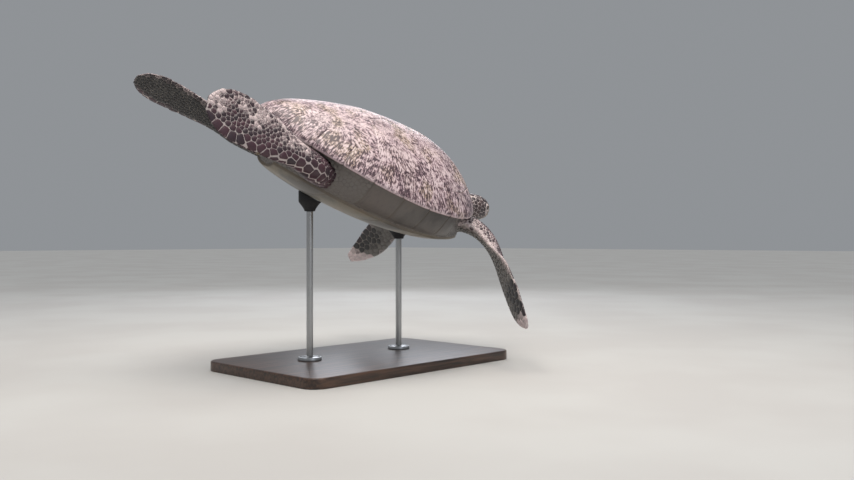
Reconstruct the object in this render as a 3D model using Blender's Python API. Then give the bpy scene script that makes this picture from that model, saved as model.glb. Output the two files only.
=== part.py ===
"""A green sea turtle, adult and life size: a still museum model on a two-rod display stand.

Metres, +Z up. The origin is the centre of the stand base's underside, and the turtle heads along -Y.
The animal is modelled in its own body frame (+X its left, -Y ahead, +Z its back) under one posing empty,
which pitches it nose down and banks its right side down. Along the shell, `s` runs from 0 at the front
edge to 1 at the rear edge, and `u` from 0 on the midline to 1 at the rim.
"""

import math

import bmesh
import bpy
import numpy as np
from mathutils import Matrix, Vector

# ---------------------------------------------------------------- driving dimensions
SHELL_LENGTH = 0.90  # straight carapace length of an adult
PITCH = math.radians(11.7)  # nose down
BANK = math.radians(-18.9)  # right side down
BODY_HEIGHT = 0.585  # shell centre above the ground

GAP = 0.0004  # between pieces that touch
SEAM = 0.0012  # between two shell plates
PLATE = 0.009  # thickness of a carapace plate
RIM_PLATE = 0.012  # thickness of the marginals near the rim
BELLY_PLATE = 0.008  # thickness of a plastron plate
MARGINAL_BAND = 0.052  # width of the ring of marginals
MARGINALS = 12  # on each side
STEPS_PER_MARGINAL = 2
SHELL_CENTRE = 0.48  # where the radial lines of the shell meet, as s
BELLY_CENTRE = 0.47

BASE_SIZE = (0.52, 0.84, 0.030)
BASE_CORNER = 0.05
ROD_RADIUS = 0.010
ROD_PLACES = (0.27, 0.70)  # along the shell, front and rear rod
FLANGE = (0.036, 0.012)  # radius, height
PAD = (0.034, 0.045)  # radius, length below the belly


def smooth_curve(places, values):
    """A function through the given points, as a monotone cubic that never overshoots them."""
    x = np.array(places, float)
    y = np.array(values, float)
    run = np.diff(x)
    slope = np.diff(y) / run
    tangent = np.zeros(len(x))
    tangent[0], tangent[-1] = slope[0], slope[-1]
    for i in range(1, len(x) - 1):
        if slope[i - 1] * slope[i] > 0:
            before, after = 2 * run[i] + run[i - 1], run[i] + 2 * run[i - 1]
            tangent[i] = (before + after) / (before / slope[i - 1] + after / slope[i])

    def value(place):
        place = min(max(place, x[0]), x[-1])
        i = min(int(np.searchsorted(x, place, side="right")) - 1, len(run) - 1)
        t = (place - x[i]) / run[i]
        start = (1 + 2 * t) * (1 - t) ** 2 * y[i] + t * (1 - t) ** 2 * run[i] * tangent[i]
        end = t * t * (3 - 2 * t) * y[i + 1] - t * t * (1 - t) * run[i] * tangent[i + 1]
        return float(start + end)

    return value


# Shell forms, in shell lengths: half width, dome height above the rim, rim height, half width of the belly.
shell_half_width = smooth_curve(
    (0, 0.02, 0.06, 0.12, 0.20, 0.30, 0.42, 0.52, 0.64, 0.76, 0.86, 0.93, 0.97, 1),
    (0.048, 0.076, 0.120, 0.186, 0.266, 0.339, 0.377, 0.383, 0.364, 0.311, 0.235, 0.156, 0.094, 0.02),
)
dome_height = smooth_curve(
    (0, 0.05, 0.12, 0.2, 0.3, 0.4, 0.5, 0.6, 0.7, 0.8, 0.9, 0.96, 1),
    (0.008, 0.030, 0.096, 0.154, 0.202, 0.225, 0.228, 0.220, 0.195, 0.158, 0.108, 0.063, 0.011),
)
rim_height = smooth_curve(
    (0, 0.1, 0.2, 0.3, 0.4, 0.5, 0.65, 0.8, 0.9, 1),
    (0.062, 0.037, 0.020, 0.007, 0.000, -0.002, 0.007, 0.029, 0.050, 0.076),
)
belly_half_width = smooth_curve(
    (0.10, 0.14, 0.20, 0.30, 0.40, 0.50, 0.60, 0.70, 0.80, 0.88, 0.92),
    (0.085, 0.160, 0.222, 0.268, 0.292, 0.290, 0.270, 0.215, 0.145, 0.095, 0.045),
)


# ---------------------------------------------------------------- scene helpers
def clear_scene():
    for obj in list(bpy.data.objects):
        bpy.data.objects.remove(obj)


def finish(name, color, roughness, metallic=0.0):
    """A plain material of the given colour."""
    material = bpy.data.materials.new(name)
    material.use_nodes = True
    shader = material.node_tree.nodes["Principled BSDF"]
    shader.inputs["Base Color"].default_value = (*color, 1)
    shader.inputs["Roughness"].default_value = roughness
    shader.inputs["Metallic"].default_value = metallic
    return material


def add_object(name, points, faces, material, parent=None, sharp_angle=40):
    """A closed mesh object with outward faces, shaded smooth except at its sharp edges."""
    mesh = bpy.data.meshes.new(name)
    mesh.from_pydata([tuple(p) for p in points], [], faces)
    shape = bmesh.new()
    shape.from_mesh(mesh)
    bmesh.ops.triangulate(shape, faces=[f for f in shape.faces if len(f.verts) > 3])
    bmesh.ops.recalc_face_normals(shape, faces=shape.faces)
    shape.to_mesh(mesh)
    shape.free()
    mesh.shade_smooth()
    mesh.set_sharp_from_angle(angle=math.radians(sharp_angle))
    mesh.materials.append(material)
    obj = bpy.data.objects.new(name, mesh)
    obj.parent = parent
    bpy.context.collection.objects.link(obj)
    return obj


def loft(rings):
    """Points and faces of a tube through rings, its ends closed by fans round their middles.

    A ring may have half the points of its neighbour: those of every second one.
    """
    points = [Vector(p) for ring in rings for p in ring]
    faces = []
    start = 0
    for ring, following in zip(rings, rings[1:]):
        after = start + len(ring)
        if len(ring) == len(following):
            faces += ladder(start, after, len(ring))
        elif len(ring) > len(following):
            faces += thinning(start, after, len(following))
        else:
            faces += thinning(after, start, len(ring))
        start = after
    for first, ring in ((0, rings[0]), (start, rings[-1])):
        points.append(sum((Vector(p) for p in ring), Vector()) / len(ring))
        faces += [(first + j, first + (j + 1) % len(ring), len(points) - 1) for j in range(len(ring))]
    return points, faces


def ladder(start, after, size):
    """Faces between two rings of equal size."""
    faces = []
    for j in range(size):
        k = (j + 1) % size
        faces.append((start + j, start + k, after + k, after + j))
    return faces


def thinning(full, half, half_size):
    """Faces between a full ring and one with half its points."""
    faces = []
    for j in range(half_size):
        k = (j + 1) % half_size
        first, middle, last = full + 2 * j, full + 2 * j + 1, full + (2 * j + 2) % (2 * half_size)
        faces += [(first, middle, half + j), (half + j, middle, half + k), (middle, last, half + k)]
    return faces


def prism(outline, low, high, axes="xyz"):
    """Points and faces of an upright prism; `axes` names where the outline's two axes and its height go."""
    order = ["xyz".index(a) for a in axes]
    points = []
    for level in (low, high):
        for first, second in outline:
            point = [0.0, 0.0, 0.0]
            point[order[0]], point[order[1]], point[order[2]] = first, second, level
            points.append(Vector(point))
    count = len(outline)
    faces = [tuple(range(count)), tuple(range(count, 2 * count))]
    for i in range(count):
        j = (i + 1) % count
        faces.append((i, j, j + count, i + count))
    return points, faces


def add_cutter(name, points, faces, parent=None):
    """A helper for Booleans, which isn't a piece of the model."""
    cutter = add_object(name, points, faces, bpy.data.materials["guide"], parent)
    cutter.hide_render = True
    cutter.display_type = "WIRE"
    return cutter


def combine(obj, cutter, operation):
    """Adds a Boolean of the given operation to the object."""
    modifier = obj.modifiers.new(cutter.name, "BOOLEAN")
    modifier.operation = operation
    modifier.solver = "EXACT"
    modifier.object = cutter


def shrink_outline(outline, distance):
    """The closed outline with each side moved inward by the distance."""
    area = sum(a[0] * b[1] - b[0] * a[1] for a, b in zip(outline, outline[1:] + outline[:1]))
    turn = 1 if area > 0 else -1
    lines = []
    for a, b in zip(outline, outline[1:] + outline[:1]):
        along = Vector((b[0] - a[0], b[1] - a[1])).normalized()
        inward = Vector((-along.y, along.x)) * turn * distance
        lines.append((Vector(a) + inward, along))
    corners = []
    for i, (point, along) in enumerate(lines):
        before, other = lines[i - 1]
        cross = other.x * along.y - other.y * along.x
        offset = point - before
        step = (offset.x * along.y - offset.y * along.x) / cross
        corners.append(tuple(before + other * step))
    return corners


# ---------------------------------------------------------------- shell surfaces
def shell_y(s):
    return (s - 0.5) * SHELL_LENGTH


def shell_s(y):
    return y / SHELL_LENGTH + 0.5


def even_points(points, count):
    """The polyline resampled to `count` equal steps."""
    points = np.array(points)
    along = np.concatenate([[0], np.cumsum(np.linalg.norm(np.diff(points, axis=0), axis=1))])
    wanted = np.linspace(0, along[-1], count + 1)
    return np.stack([np.interp(wanted, along, points[:, i]) for i in range(2)], axis=1)


def rim_outline():
    """The rim in plan, from the front middle round the left side, the rear middle and the right side."""
    fine = [(shell_half_width(s) * SHELL_LENGTH, shell_y(s)) for s in np.linspace(0, 1, 400)]
    fine.append((0.0, shell_y(0.990)))
    left = [tuple(p) for p in even_points(fine, MARGINALS * STEPS_PER_MARGINAL)]
    right = [(-x, y) for x, y in left[-2::-1]]
    return [(0.0, shell_y(0.006))] + left + right


def dome_z(x, y):
    """Height of the carapace surface over a place in plan."""
    s = shell_s(y)
    u = min(abs(x) / (shell_half_width(s) * SHELL_LENGTH), 1)
    return SHELL_LENGTH * (rim_height(s) + dome_height(s) * (1 - u**2.1) ** 0.95)


def dome_point(x, y, depth=0.0):
    """A point at the given depth under the carapace surface."""
    step = 0.002
    inner = 0.975
    px, py = x * inner, shell_y(SHELL_CENTRE) + (y - shell_y(SHELL_CENTRE)) * inner
    slope_x = (dome_z(px + step, py) - dome_z(px - step, py)) / (2 * step)
    slope_y = (dome_z(px, py + step) - dome_z(px, py - step)) / (2 * step)
    normal = Vector((-slope_x, -slope_y, 1)).normalized()
    return Vector((x, y, dome_z(x, y))) - normal * depth


def rim_section_point(rim, from_rim, depth):
    """A point `from_rim` metres inside one rim point, towards the shell's centre."""
    centre = Vector((0, shell_y(SHELL_CENTRE)))
    place = Vector(rim) + (centre - Vector(rim)).normalized() * from_rim
    return dome_point(place.x, place.y, depth)


def belly_z(x, y):
    """Height of the plastron's outer surface over a place in plan."""
    s = shell_s(y)
    u = min(abs(x) / (belly_half_width(s) * SHELL_LENGTH), 1.05)
    return -0.136 * SHELL_LENGTH * (1 - ((s - 0.47) / 0.62) ** 2) * (1 - 0.25 * u**3)


def belly_outline(scale=1.0):
    """The plastron's edge in plan, one point for each rim point."""
    points = []
    for x, y in RIM:
        s = 0.10 + 0.82 * shell_s(y)
        half = belly_half_width(s) * SHELL_LENGTH if abs(x) > 1e-6 else 0.0
        middle = shell_y(BELLY_CENTRE)
        points.append((math.copysign(half, x) * scale, middle + (shell_y(s) - middle) * scale))
    return points


def belly_ring(scale, rise):
    """A ring over the plastron's surface, raised into the body."""
    ring = [Vector((x, y, belly_z(x, y) + rise)) for x, y in belly_outline(scale)]
    return ring[::2] if scale < 1 else ring


def cap_rings(scales, depth):
    """Rings of the carapace inside the marginals, as shares of the way from the centre to them."""
    centre = Vector((0, shell_y(SHELL_CENTRE)))
    rings = []
    for scale in scales:
        ring = []
        for rim in RIM:
            reach = (Vector(rim) - centre).length - MARGINAL_BAND - SEAM
            place = centre + (Vector(rim) - centre).normalized() * reach * scale
            ring.append(dome_point(place.x, place.y, depth))
        rings.append(ring[::2] if scale < FEWER_POINTS_WITHIN else ring)
    return rings


# ---------------------------------------------------------------- carapace
CAP_SCALES = (0.0001, 0.28, 0.50, 0.70, 0.86, 1.0)
FEWER_POINTS_WITHIN = 0.6  # rings further in have half the points

# Corners of the seams on the left side, as (half width, s), in shell lengths.
SEAM_12, WIDE_2 = (0.088, 0.205), (0.140, 0.295)
SEAM_23, WIDE_3 = (0.086, 0.388), (0.134, 0.485)
SEAM_34, WIDE_4 = (0.078, 0.580), (0.112, 0.672)
SEAM_45, REAR_5 = (0.056, 0.765), (0.150, 0.960)
FRONT_1 = (0.190, 0.010)
BEYOND_12, BEYOND_23, BEYOND_34 = (0.42, 0.300), (0.45, 0.505), (0.42, 0.735)


def plan(corner, side=1):
    return (corner[0] * SHELL_LENGTH * side, shell_y(corner[1]))


def carapace_outlines():
    """Plan outline of each vertebral and costal plate, reaching past the cap at the marginals."""
    front, rear = -0.05, 1.05
    halves = [
        [(0, front), (FRONT_1[0], front), FRONT_1, SEAM_12, (0, SEAM_12[1])],
        [(0, SEAM_12[1]), SEAM_12, WIDE_2, SEAM_23, (0, SEAM_23[1])],
        [(0, SEAM_23[1]), SEAM_23, WIDE_3, SEAM_34, (0, SEAM_34[1])],
        [(0, SEAM_34[1]), SEAM_34, WIDE_4, SEAM_45, (0, SEAM_45[1])],
        [(0, SEAM_45[1]), SEAM_45, REAR_5, (REAR_5[0], rear), (0, rear)],
    ]
    outlines = {}
    for number, half in enumerate(halves, 1):
        ring = [plan(corner) for corner in half[1:-1]]
        outlines[f"vertebral_{number}"] = ring + [(-x, y) for x, y in ring[::-1]]
    costals = [
        [SEAM_12, FRONT_1, (0.30, -0.05), (0.42, 0.10), BEYOND_12, WIDE_2],
        [SEAM_23, WIDE_2, BEYOND_12, BEYOND_23, WIDE_3],
        [SEAM_34, WIDE_3, BEYOND_23, BEYOND_34, WIDE_4],
        [SEAM_45, WIDE_4, BEYOND_34, (0.40, 1.0), REAR_5],
    ]
    for side_name, side in (("left", 1), ("right", -1)):
        for number, corners in enumerate(costals, 1):
            outlines[f"costal_{side_name}_{number}"] = [plan(corner, side) for corner in corners]
    return outlines


def add_carapace(pose, horn):
    """The vertebral and costal plates, each cut from the cap by its own upright prism."""
    rings = cap_rings(CAP_SCALES, 0) + cap_rings(CAP_SCALES[::-1], PLATE)
    points, faces = loft(rings)
    for name, outline in carapace_outlines().items():
        plate = add_object(name, points, faces, horn, pose)
        cutter = add_cutter(f"cut_{name}", *prism(shrink_outline(outline, SEAM / 2), -0.2, 0.4), pose)
        combine(plate, cutter, "INTERSECT")


def marginal_section(rim, notch=0.0):
    """Section of the marginals at a rim point: out over the top, round the lip and back underneath."""
    profile = (
        (MARGINAL_BAND, 0),
        (0.026, 0),
        (0.007, 0.0003),
        (0.0 + notch, 0.005),
        (0.007 + notch, RIM_PLATE),
        (0.028, RIM_PLATE),
        (MARGINAL_BAND, PLATE),
    )
    return [rim_section_point(rim, from_rim, depth) for from_rim, depth in profile]


def trimmed(first, second, distance):
    """A rim point moved from the first towards the second by the distance."""
    step = Vector(second) - Vector(first)
    return tuple(Vector(first) + step.normalized() * distance)


def add_marginals(pose, horn):
    """The ring of marginals: the nuchal at the front middle and one strip on each side."""
    count = MARGINALS * STEPS_PER_MARGINAL
    left = RIM[1 : count + 2]
    for side_name, side in (("left", 1), ("right", -1)):
        line = [(x * side, y) for x, y in left]
        line[0] = trimmed(line[0], line[1], SEAM)
        line[-1] = (side * SEAM / 2, line[-1][1])
        sections = []
        for i, rim in enumerate(line):
            on_seam = i % STEPS_PER_MARGINAL == 0
            sections.append(marginal_section(rim, 0.0025 if on_seam else 0.0))
        add_object(f"marginals_{side_name}", *loft(sections), horn, pose)
    front = [(left[0][0], left[0][1]), RIM[0], (-left[0][0], left[0][1])]
    add_object("nuchal", *loft([marginal_section(rim) for rim in front]), horn, pose)


# ---------------------------------------------------------------- plastron
BELLY_SCALES = (0.0001, 0.45, 0.80, 1.0)
BELLY_SEAMS = (0.0, 0.165, 0.285, 0.430, 0.610, 0.770, 1.0)
BELLY_NAMES = ("gular", "humeral", "pectoral", "abdominal", "femoral", "anal")


def add_plastron(pose, horn):
    """Six pairs of belly plates, cut from one slab, with the seams arched slightly forward."""
    rings = [belly_ring(scale, 0) for scale in BELLY_SCALES]
    rings += [belly_ring(scale, BELLY_PLATE) for scale in BELLY_SCALES[::-1]]
    points, faces = loft(rings)
    half = 0.36
    for number, plate_name in enumerate(BELLY_NAMES):
        start, end = BELLY_SEAMS[number], BELLY_SEAMS[number + 1]
        for side_name, side in (("left", 1), ("right", -1)):
            corners = [(0, start), (half, start), (half, end), (0, end)]
            outline = shrink_outline([plan(corner, side) for corner in corners], SEAM / 2)
            name = f"{plate_name}_{side_name}"
            plate = add_object(name, points, faces, horn, pose)
            combine(plate, add_cutter(f"cut_{name}", *prism(outline, -0.3, 0.1), pose), "INTERSECT")


# ---------------------------------------------------------------- limbs
# Of a flipper, at shares of its length, in metres: reach to the leading and to the trailing edge, thickness.
FRONT_LEAD = ((0, 0.055), (0.25, 0.050), (0.45, 0.044), (0.65, 0.050), (0.82, 0.050), (0.94, 0.034), (1, 0.016))
FRONT_TRAIL = ((0, 0.055), (0.12, 0.045), (0.25, 0.032), (0.45, 0.048), (0.65, 0.069), (0.82, 0.067), (0.94, 0.044), (1, 0.020))
FRONT_THICK = ((0, 0.064), (0.25, 0.048), (0.45, 0.036), (0.6, 0.030), (0.8, 0.022), (1, 0.009))
REAR_LEAD = ((0, 0.045), (0.25, 0.050), (0.45, 0.044), (0.65, 0.058), (0.85, 0.066), (0.95, 0.050), (1, 0.020))
REAR_TRAIL = ((0, 0.045), (0.25, 0.050), (0.45, 0.048), (0.65, 0.066), (0.85, 0.076), (0.95, 0.056), (1, 0.022))
REAR_THICK = ((0, 0.066), (0.25, 0.070), (0.45, 0.048), (0.65, 0.026), (0.85, 0.014), (1, 0.008))
LIMB_SPLIT = 0.42  # where a limb's root piece ends and its blade begins


def side_limb(side, path, reference, lead, trail, thick, roll, root_name, tip_name):
    """The description of one flipper, its path in the body frame from the root to the tip."""
    places = np.linspace(0, 1, len(path))
    return {
        "side": side,
        "path": [smooth_path(places, [p[i] for p in path]) for i in range(3)],
        "reference": Vector(reference),
        "lead": smooth_curve(*zip(*lead)),
        "trail": smooth_curve(*zip(*trail)),
        "thick": smooth_curve(*zip(*thick)),
        "roll": smooth_curve(*zip(*roll)),
        "split": LIMB_SPLIT,
        "names": (root_name, tip_name),
    }


def smooth_path(places, values):
    """A natural-looking curve through the points, free to overshoot them a little."""
    fit = np.polyfit(places, values, len(places) - 1)
    return lambda place: float(np.polyval(fit, place))


def limb_frame(limb, t):
    """Centre, leading direction and upper normal of a limb at a share of its length."""
    here = Vector([axis(t) for axis in limb["path"]])
    step = 0.01
    ahead = Vector([axis(t + step) for axis in limb["path"]])
    behind = Vector([axis(t - step) for axis in limb["path"]])
    along = (ahead - behind).normalized()
    lead = (limb["reference"] - along * limb["reference"].dot(along)).normalized()
    normal = lead.cross(along) * limb["side"]
    roll = math.radians(limb["roll"](t))
    rolled = lead * math.cos(roll) - normal * math.sin(roll)
    return here, along, rolled, normal * math.cos(roll) + lead * math.sin(roll)


def limb_section(limb, t, grow=0.0, shift=0.0, sides=10):
    """One section of a flipper: thick and round at its leading edge, thin at its trailing one."""
    here, along, lead, normal = limb_frame(limb, t)
    here = here + along * shift
    section = []
    for i in range(sides):
        angle = 2 * math.pi * i / sides
        chord = math.cos(angle)
        reach = limb["lead"](t) if chord > 0 else limb["trail"](t)
        height = (limb["thick"](t) / 2 + grow) * math.sin(angle) * (1 + 0.3 * chord)
        section.append(here + lead * (chord * (reach + grow)) + normal * height)
    return section


CLAW_SHARE = 0.68  # along the limb
CLAW_LENGTH = 0.024
CLAW_ROOT = 0.010  # how deep the claw starts inside the leading edge
CLAW_RADIUS = 0.0042
ROOT_SHARES = np.linspace(0, 1, 6)
TIP_SHARES = np.linspace(0, 1, 9) ** 0.8


def add_claw(pose, limb, blade, horn):
    """The claw at the leading edge, pointing outward and on, and its socket in the blade."""
    here, along, lead, normal = limb_frame(limb, CLAW_SHARE)
    start = here + lead * (limb["lead"](CLAW_SHARE) - CLAW_ROOT)
    way = (lead * 0.7 + along * 0.7).normalized()
    across = way.cross(normal)
    shapes = []
    for grow in (0, GAP):
        rings = []
        for share, radius in ((0, 1.0), (0.35, 1.0), (0.7, 0.62), (1, 0.15)):
            reach = share * CLAW_LENGTH - (grow if share == 0 else 0)
            middle = start + way * reach + along * 0.003 * share**2
            size = 2 * (CLAW_RADIUS * radius + grow)
            rings.append(oval_ring(middle, across, normal, size, size * 0.8, 8))
        shapes.append(loft(rings))
    name = limb["names"][1].replace("flipper", "claw")
    add_object(name, *shapes[0], horn, pose)
    combine(blade, add_cutter(f"cut_{name}", *shapes[1], pose), "DIFFERENCE")


def add_limb(pose, limb, skin, horn, trunk):
    """A flipper in two pieces, root and blade, and its socket in the trunk."""
    shares = [limb["split"] * share for share in ROOT_SHARES]
    add_object(limb["names"][0], *loft([limb_section(limb, t) for t in shares]), skin, pose)
    cut = [limb_section(limb, t, GAP, -GAP if t == 0 else 0) for t in shares]
    combine(trunk, add_cutter(f"cut_{limb['names'][0]}", *loft(cut), pose), "DIFFERENCE")
    split = limb["split"]
    sections = [limb_section(limb, split, shift=GAP)]
    sections += [limb_section(limb, split + (1 - split) * share) for share in TIP_SHARES[1:]]
    blade = add_object(limb["names"][1], *loft(sections), skin, pose)
    add_claw(pose, limb, blade, horn)


def front_limb(side, path, roll):
    name = "left" if side > 0 else "right"
    return side_limb(
        side,
        path,
        (0, -1, 0.0),
        FRONT_LEAD,
        FRONT_TRAIL,
        FRONT_THICK,
        roll,
        f"front_arm_{name}",
        f"front_flipper_{name}",
    )


def rear_limb(side, path, roll):
    name = "left" if side > 0 else "right"
    return side_limb(
        side,
        path,
        (side, 0, 0),
        REAR_LEAD,
        REAR_TRAIL,
        REAR_THICK,
        roll,
        f"rear_leg_{name}",
        f"rear_flipper_{name}",
    )


# From the root to the tip, in the body frame.
FRONT_RIGHT_PATH = (
    (-0.15, -0.285, -0.027),
    (-0.285, -0.335, -0.045),
    (-0.425, -0.325, -0.135),
    (-0.600, -0.262, -0.210),
)
FRONT_LEFT_PATH = (
    (0.15, -0.285, -0.027),
    (0.28, -0.395, -0.050),
    (0.365, -0.50, -0.165),
    (0.52, -0.512, -0.354),
)
REAR_RIGHT_PATH = ((-0.12, 0.27, -0.02), (-0.205, 0.385, 0.005), (-0.21, 0.53, 0.032), (-0.190, 0.71, 0.058))
REAR_LEFT_PATH = ((0.12, 0.27, -0.02), (0.205, 0.385, 0.0), (0.26, 0.52, 0.018), (0.31, 0.67, 0.035))


def add_limbs(pose, skin, horn, trunk):
    limbs = [
        front_limb(-1, FRONT_RIGHT_PATH, ((0, -10), (0.35, 15), (0.6, 45), (1, 58))),
        front_limb(1, FRONT_LEFT_PATH, ((0, 0), (0.35, 15), (0.6, 45), (1, 55))),
        rear_limb(-1, REAR_RIGHT_PATH, ((0, 10), (0.35, 40), (0.6, 58), (1, 62))),
        rear_limb(1, REAR_LEFT_PATH, ((0, 10), (0.35, 25), (0.6, 33), (1, 34))),
    ]
    for limb in limbs:
        add_limb(pose, limb, skin, horn, trunk)


# ---------------------------------------------------------------- trunk, neck and tail
def add_trunk(pose, skin):
    """The body inside the shell: under the plates, down the flanks and over the belly."""
    rings = cap_rings(CAP_SCALES, PLATE + GAP)
    for from_rim, depth in ((0.034, RIM_PLATE + 0.001), (0.024, RIM_PLATE + 0.003)):
        rings.append([rim_section_point(rim, from_rim, depth) for rim in RIM])
    flank_top = rings[-1]
    flank_foot = belly_ring(1.0, BELLY_PLATE + GAP)
    for share, drop in ((0.22, 0.40), (0.60, 0.80)):
        ring = []
        for top, foot in zip(flank_top, flank_foot):
            place = top.lerp(foot, share)
            ring.append(Vector((place.x, place.y, top.z + (foot.z - top.z) * drop)))
        rings.append(ring)
    rings += [belly_ring(scale, BELLY_PLATE + GAP) for scale in BELLY_SCALES[::-1]]
    return add_object("trunk", *loft(rings), skin, pose)


def oval_ring(centre, across, up, width, height, sides=16, power=2.0):
    """A closed ring round a centre: an ellipse at power 2, boxier above it."""
    ring = []
    for i in range(sides):
        angle = 2 * math.pi * i / sides
        c, s = math.cos(angle), math.sin(angle)
        x = math.copysign(abs(c) ** (2 / power), c) * width / 2
        z = math.copysign(abs(s) ** (2 / power), s) * height / 2
        ring.append(centre + across * x + up * z)
    return ring


def add_tube(name, pose, material, trunk, stations, last_ring=None):
    """A neck or a tail: ovals along the midline, as (y, z, width, height), and its socket in the trunk."""
    side, up = Vector((1, 0, 0)), Vector((0, 0, 1))
    shapes = []
    for grow in (0, GAP):
        rings = []
        for i, (y, z, width, height) in enumerate(stations):
            before, after = stations[max(i - 1, 0)], stations[min(i + 1, len(stations) - 1)]
            along = Vector((0, after[0] - before[0], after[1] - before[1])).normalized()
            lift = side.cross(along)
            lift = lift if lift.z > 0 else -lift
            centre = Vector((0, y, z)) - along * (grow if i == 0 else 0)
            rings.append(oval_ring(centre, side, lift, width + 2 * grow, height + 2 * grow))
        shapes.append(loft(rings + last_ring if last_ring else rings))
    combine(trunk, add_cutter(f"cut_{name}", *shapes[1], pose), "DIFFERENCE")
    return add_object(name, *shapes[0], material, pose)


# ---------------------------------------------------------------- head
HEAD_LENGTH = 0.150
HEAD_BACK = Vector((0, -0.460, 0.021))  # middle of the head's rear, in the body frame
HEAD_RAISE = math.radians(10)  # the head is held up against the body's pitch
HEAD_TURN = math.radians(10)  # towards the animal's left
EYE_RADIUS = 0.0150
EYE_PLACE = (0.0375, 0.60, 0.011)  # half distance, share of the length, height

# Along the head, from its back to the beak's tip, in metres.
HEAD_SHARES = (0, 0.12, 0.28, 0.45, 0.60, 0.74, 0.86, 0.94, 1)
HEAD_RINGS = (0, 0.07, 0.16, 0.30, 0.44, 0.57, 0.68, 0.78, 0.87, 0.94, 0.98, 1)
HEAD_FOOT = (-0.038, -0.042, -0.046, -0.047, -0.045, -0.042, -0.039, -0.034, -0.023)
head_half_width = smooth_curve(HEAD_SHARES, (0.045, 0.051, 0.055, 0.054, 0.050, 0.042, 0.033, 0.023, 0.009))
head_top = smooth_curve(HEAD_SHARES, (0.034, 0.042, 0.047, 0.046, 0.042, 0.034, 0.024, 0.014, -0.004))
head_foot = smooth_curve(HEAD_SHARES, HEAD_FOOT)
MOUTH_Z = -0.020
MOUTH_SLIT = 0.0016
BEAK_BACK = (0.64, MOUTH_Z)  # rear corner of the upper beak, as (share, z)
GAPE_END = (0.43, MOUTH_Z - 0.006)  # rear end of the mouth
BELOW, BEYOND = -0.08, 1.2  # a height under the chin and a share past the beak


def head_ring(share):
    half, top, foot = head_half_width(share), head_top(share), head_foot(share)
    middle = Vector((0, -share * HEAD_LENGTH, (top + foot) / 2))
    return oval_ring(middle, Vector((1, 0, 0)), Vector((0, 0, 1)), 2 * half, top - foot, 16, 2.3)


def side_prism(corners):
    """A prism right through the head from a side outline of (share, z) corners."""
    return prism([(-share * HEAD_LENGTH, z) for share, z in corners], -0.1, 0.1, "yzx")


def add_head_frame(pose):
    """The empty that the head's pieces hang from, at the middle of its rear."""
    frame = bpy.data.objects.new("head_frame", None)
    frame.parent = pose
    frame.location = HEAD_BACK
    frame.rotation_euler = (-HEAD_RAISE, 0, HEAD_TURN)
    bpy.context.collection.objects.link(frame)
    return frame


def head_back_ring():
    """The rim of the head's rear in the body frame, a gap behind it, where the neck ends."""
    turn = Matrix.Rotation(HEAD_TURN, 4, "Z") @ Matrix.Rotation(-HEAD_RAISE, 4, "X")
    turn = Matrix.Translation(HEAD_BACK) @ turn
    return [turn @ (p + Vector((0, GAP, 0))) for p in head_ring(0)]


def add_head(frame, skin, horn, glass):
    """The head in pieces: skull, upper and lower beak, lower jaw and the two eyes."""
    points, faces = loft([head_ring(share) for share in HEAD_RINGS])
    low = MOUTH_Z - MOUTH_SLIT
    below_slit = MOUTH_Z - MOUTH_SLIT / 2
    sheath = [BEAK_BACK, (0.72, -0.0055), (0.88, 0.0035), (BEYOND, 0.007)]
    regions = {
        "beak_upper": [*sheath, (BEYOND, MOUTH_Z)],
        "beak_lower": [(0.68, low), (0.75, BELOW), (BEYOND, BELOW), (BEYOND, low)],
        "lower_jaw": [GAPE_END, (0.36, BELOW), (0.75, BELOW), (0.68, low), (0.52, low)],
    }
    openings = {
        "beak_upper": [*sheath, (BEYOND, low), (BEAK_BACK[0], low)],
        "jaws": [GAPE_END, (0.36, BELOW), (BEYOND, BELOW), (BEYOND, below_slit), (0.52, below_slit)],
    }
    for name, corners in regions.items():
        piece = add_object(name, points, faces, skin if name == "lower_jaw" else horn, frame)
        shrunk = shrink_outline([(share * HEAD_LENGTH, z) for share, z in corners], GAP)
        shrunk = [(a / HEAD_LENGTH, z) for a, z in shrunk]
        combine(piece, add_cutter(f"cut_{name}", *side_prism(shrunk), frame), "INTERSECT")
    skull = add_object("head", points, faces, skin, frame)
    for name, corners in openings.items():
        combine(skull, add_cutter(f"cut_{name}_opening", *side_prism(corners), frame), "DIFFERENCE")
    for side_name, side in (("left", 1), ("right", -1)):
        centre = Vector((side * EYE_PLACE[0], -EYE_PLACE[1] * HEAD_LENGTH, EYE_PLACE[2]))
        for name, radius in ((f"eye_{side_name}", EYE_RADIUS), (f"cut_eye_{side_name}", EYE_RADIUS + GAP)):
            shape = bmesh.new()
            bmesh.ops.create_uvsphere(shape, u_segments=12, v_segments=7, radius=radius)
            bmesh.ops.rotate(shape, verts=shape.verts, matrix=Matrix.Rotation(math.pi / 2, 3, "Y"))
            corners = [tuple(v.index for v in f.verts) for f in shape.faces]
            ball = ([v.co + centre for v in shape.verts], corners)
            shape.free()
            if name.startswith("cut"):
                combine(skull, add_cutter(name, *ball, frame), "DIFFERENCE")
            else:
                add_object(name, *ball, glass, frame)


# ---------------------------------------------------------------- display stand
def add_cylinder(name, radius, low, high, place, material, bevel=0.0, sides=16):
    """An upright round bar or disc, its upper edge chamfered by the bevel."""
    rings = []
    levels = ((low, 0), (high - bevel, 0), (high, bevel)) if bevel else ((low, 0), (high, 0))
    for height, shrink in levels:
        ring = []
        for i in range(sides):
            angle = 2 * math.pi * i / sides
            offset = Vector((math.cos(angle), math.sin(angle))) * (radius - shrink)
            ring.append(Vector((place[0] + offset.x, place[1] + offset.y, height)))
        rings.append(ring)
    return add_object(name, *loft(rings), material)


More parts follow.
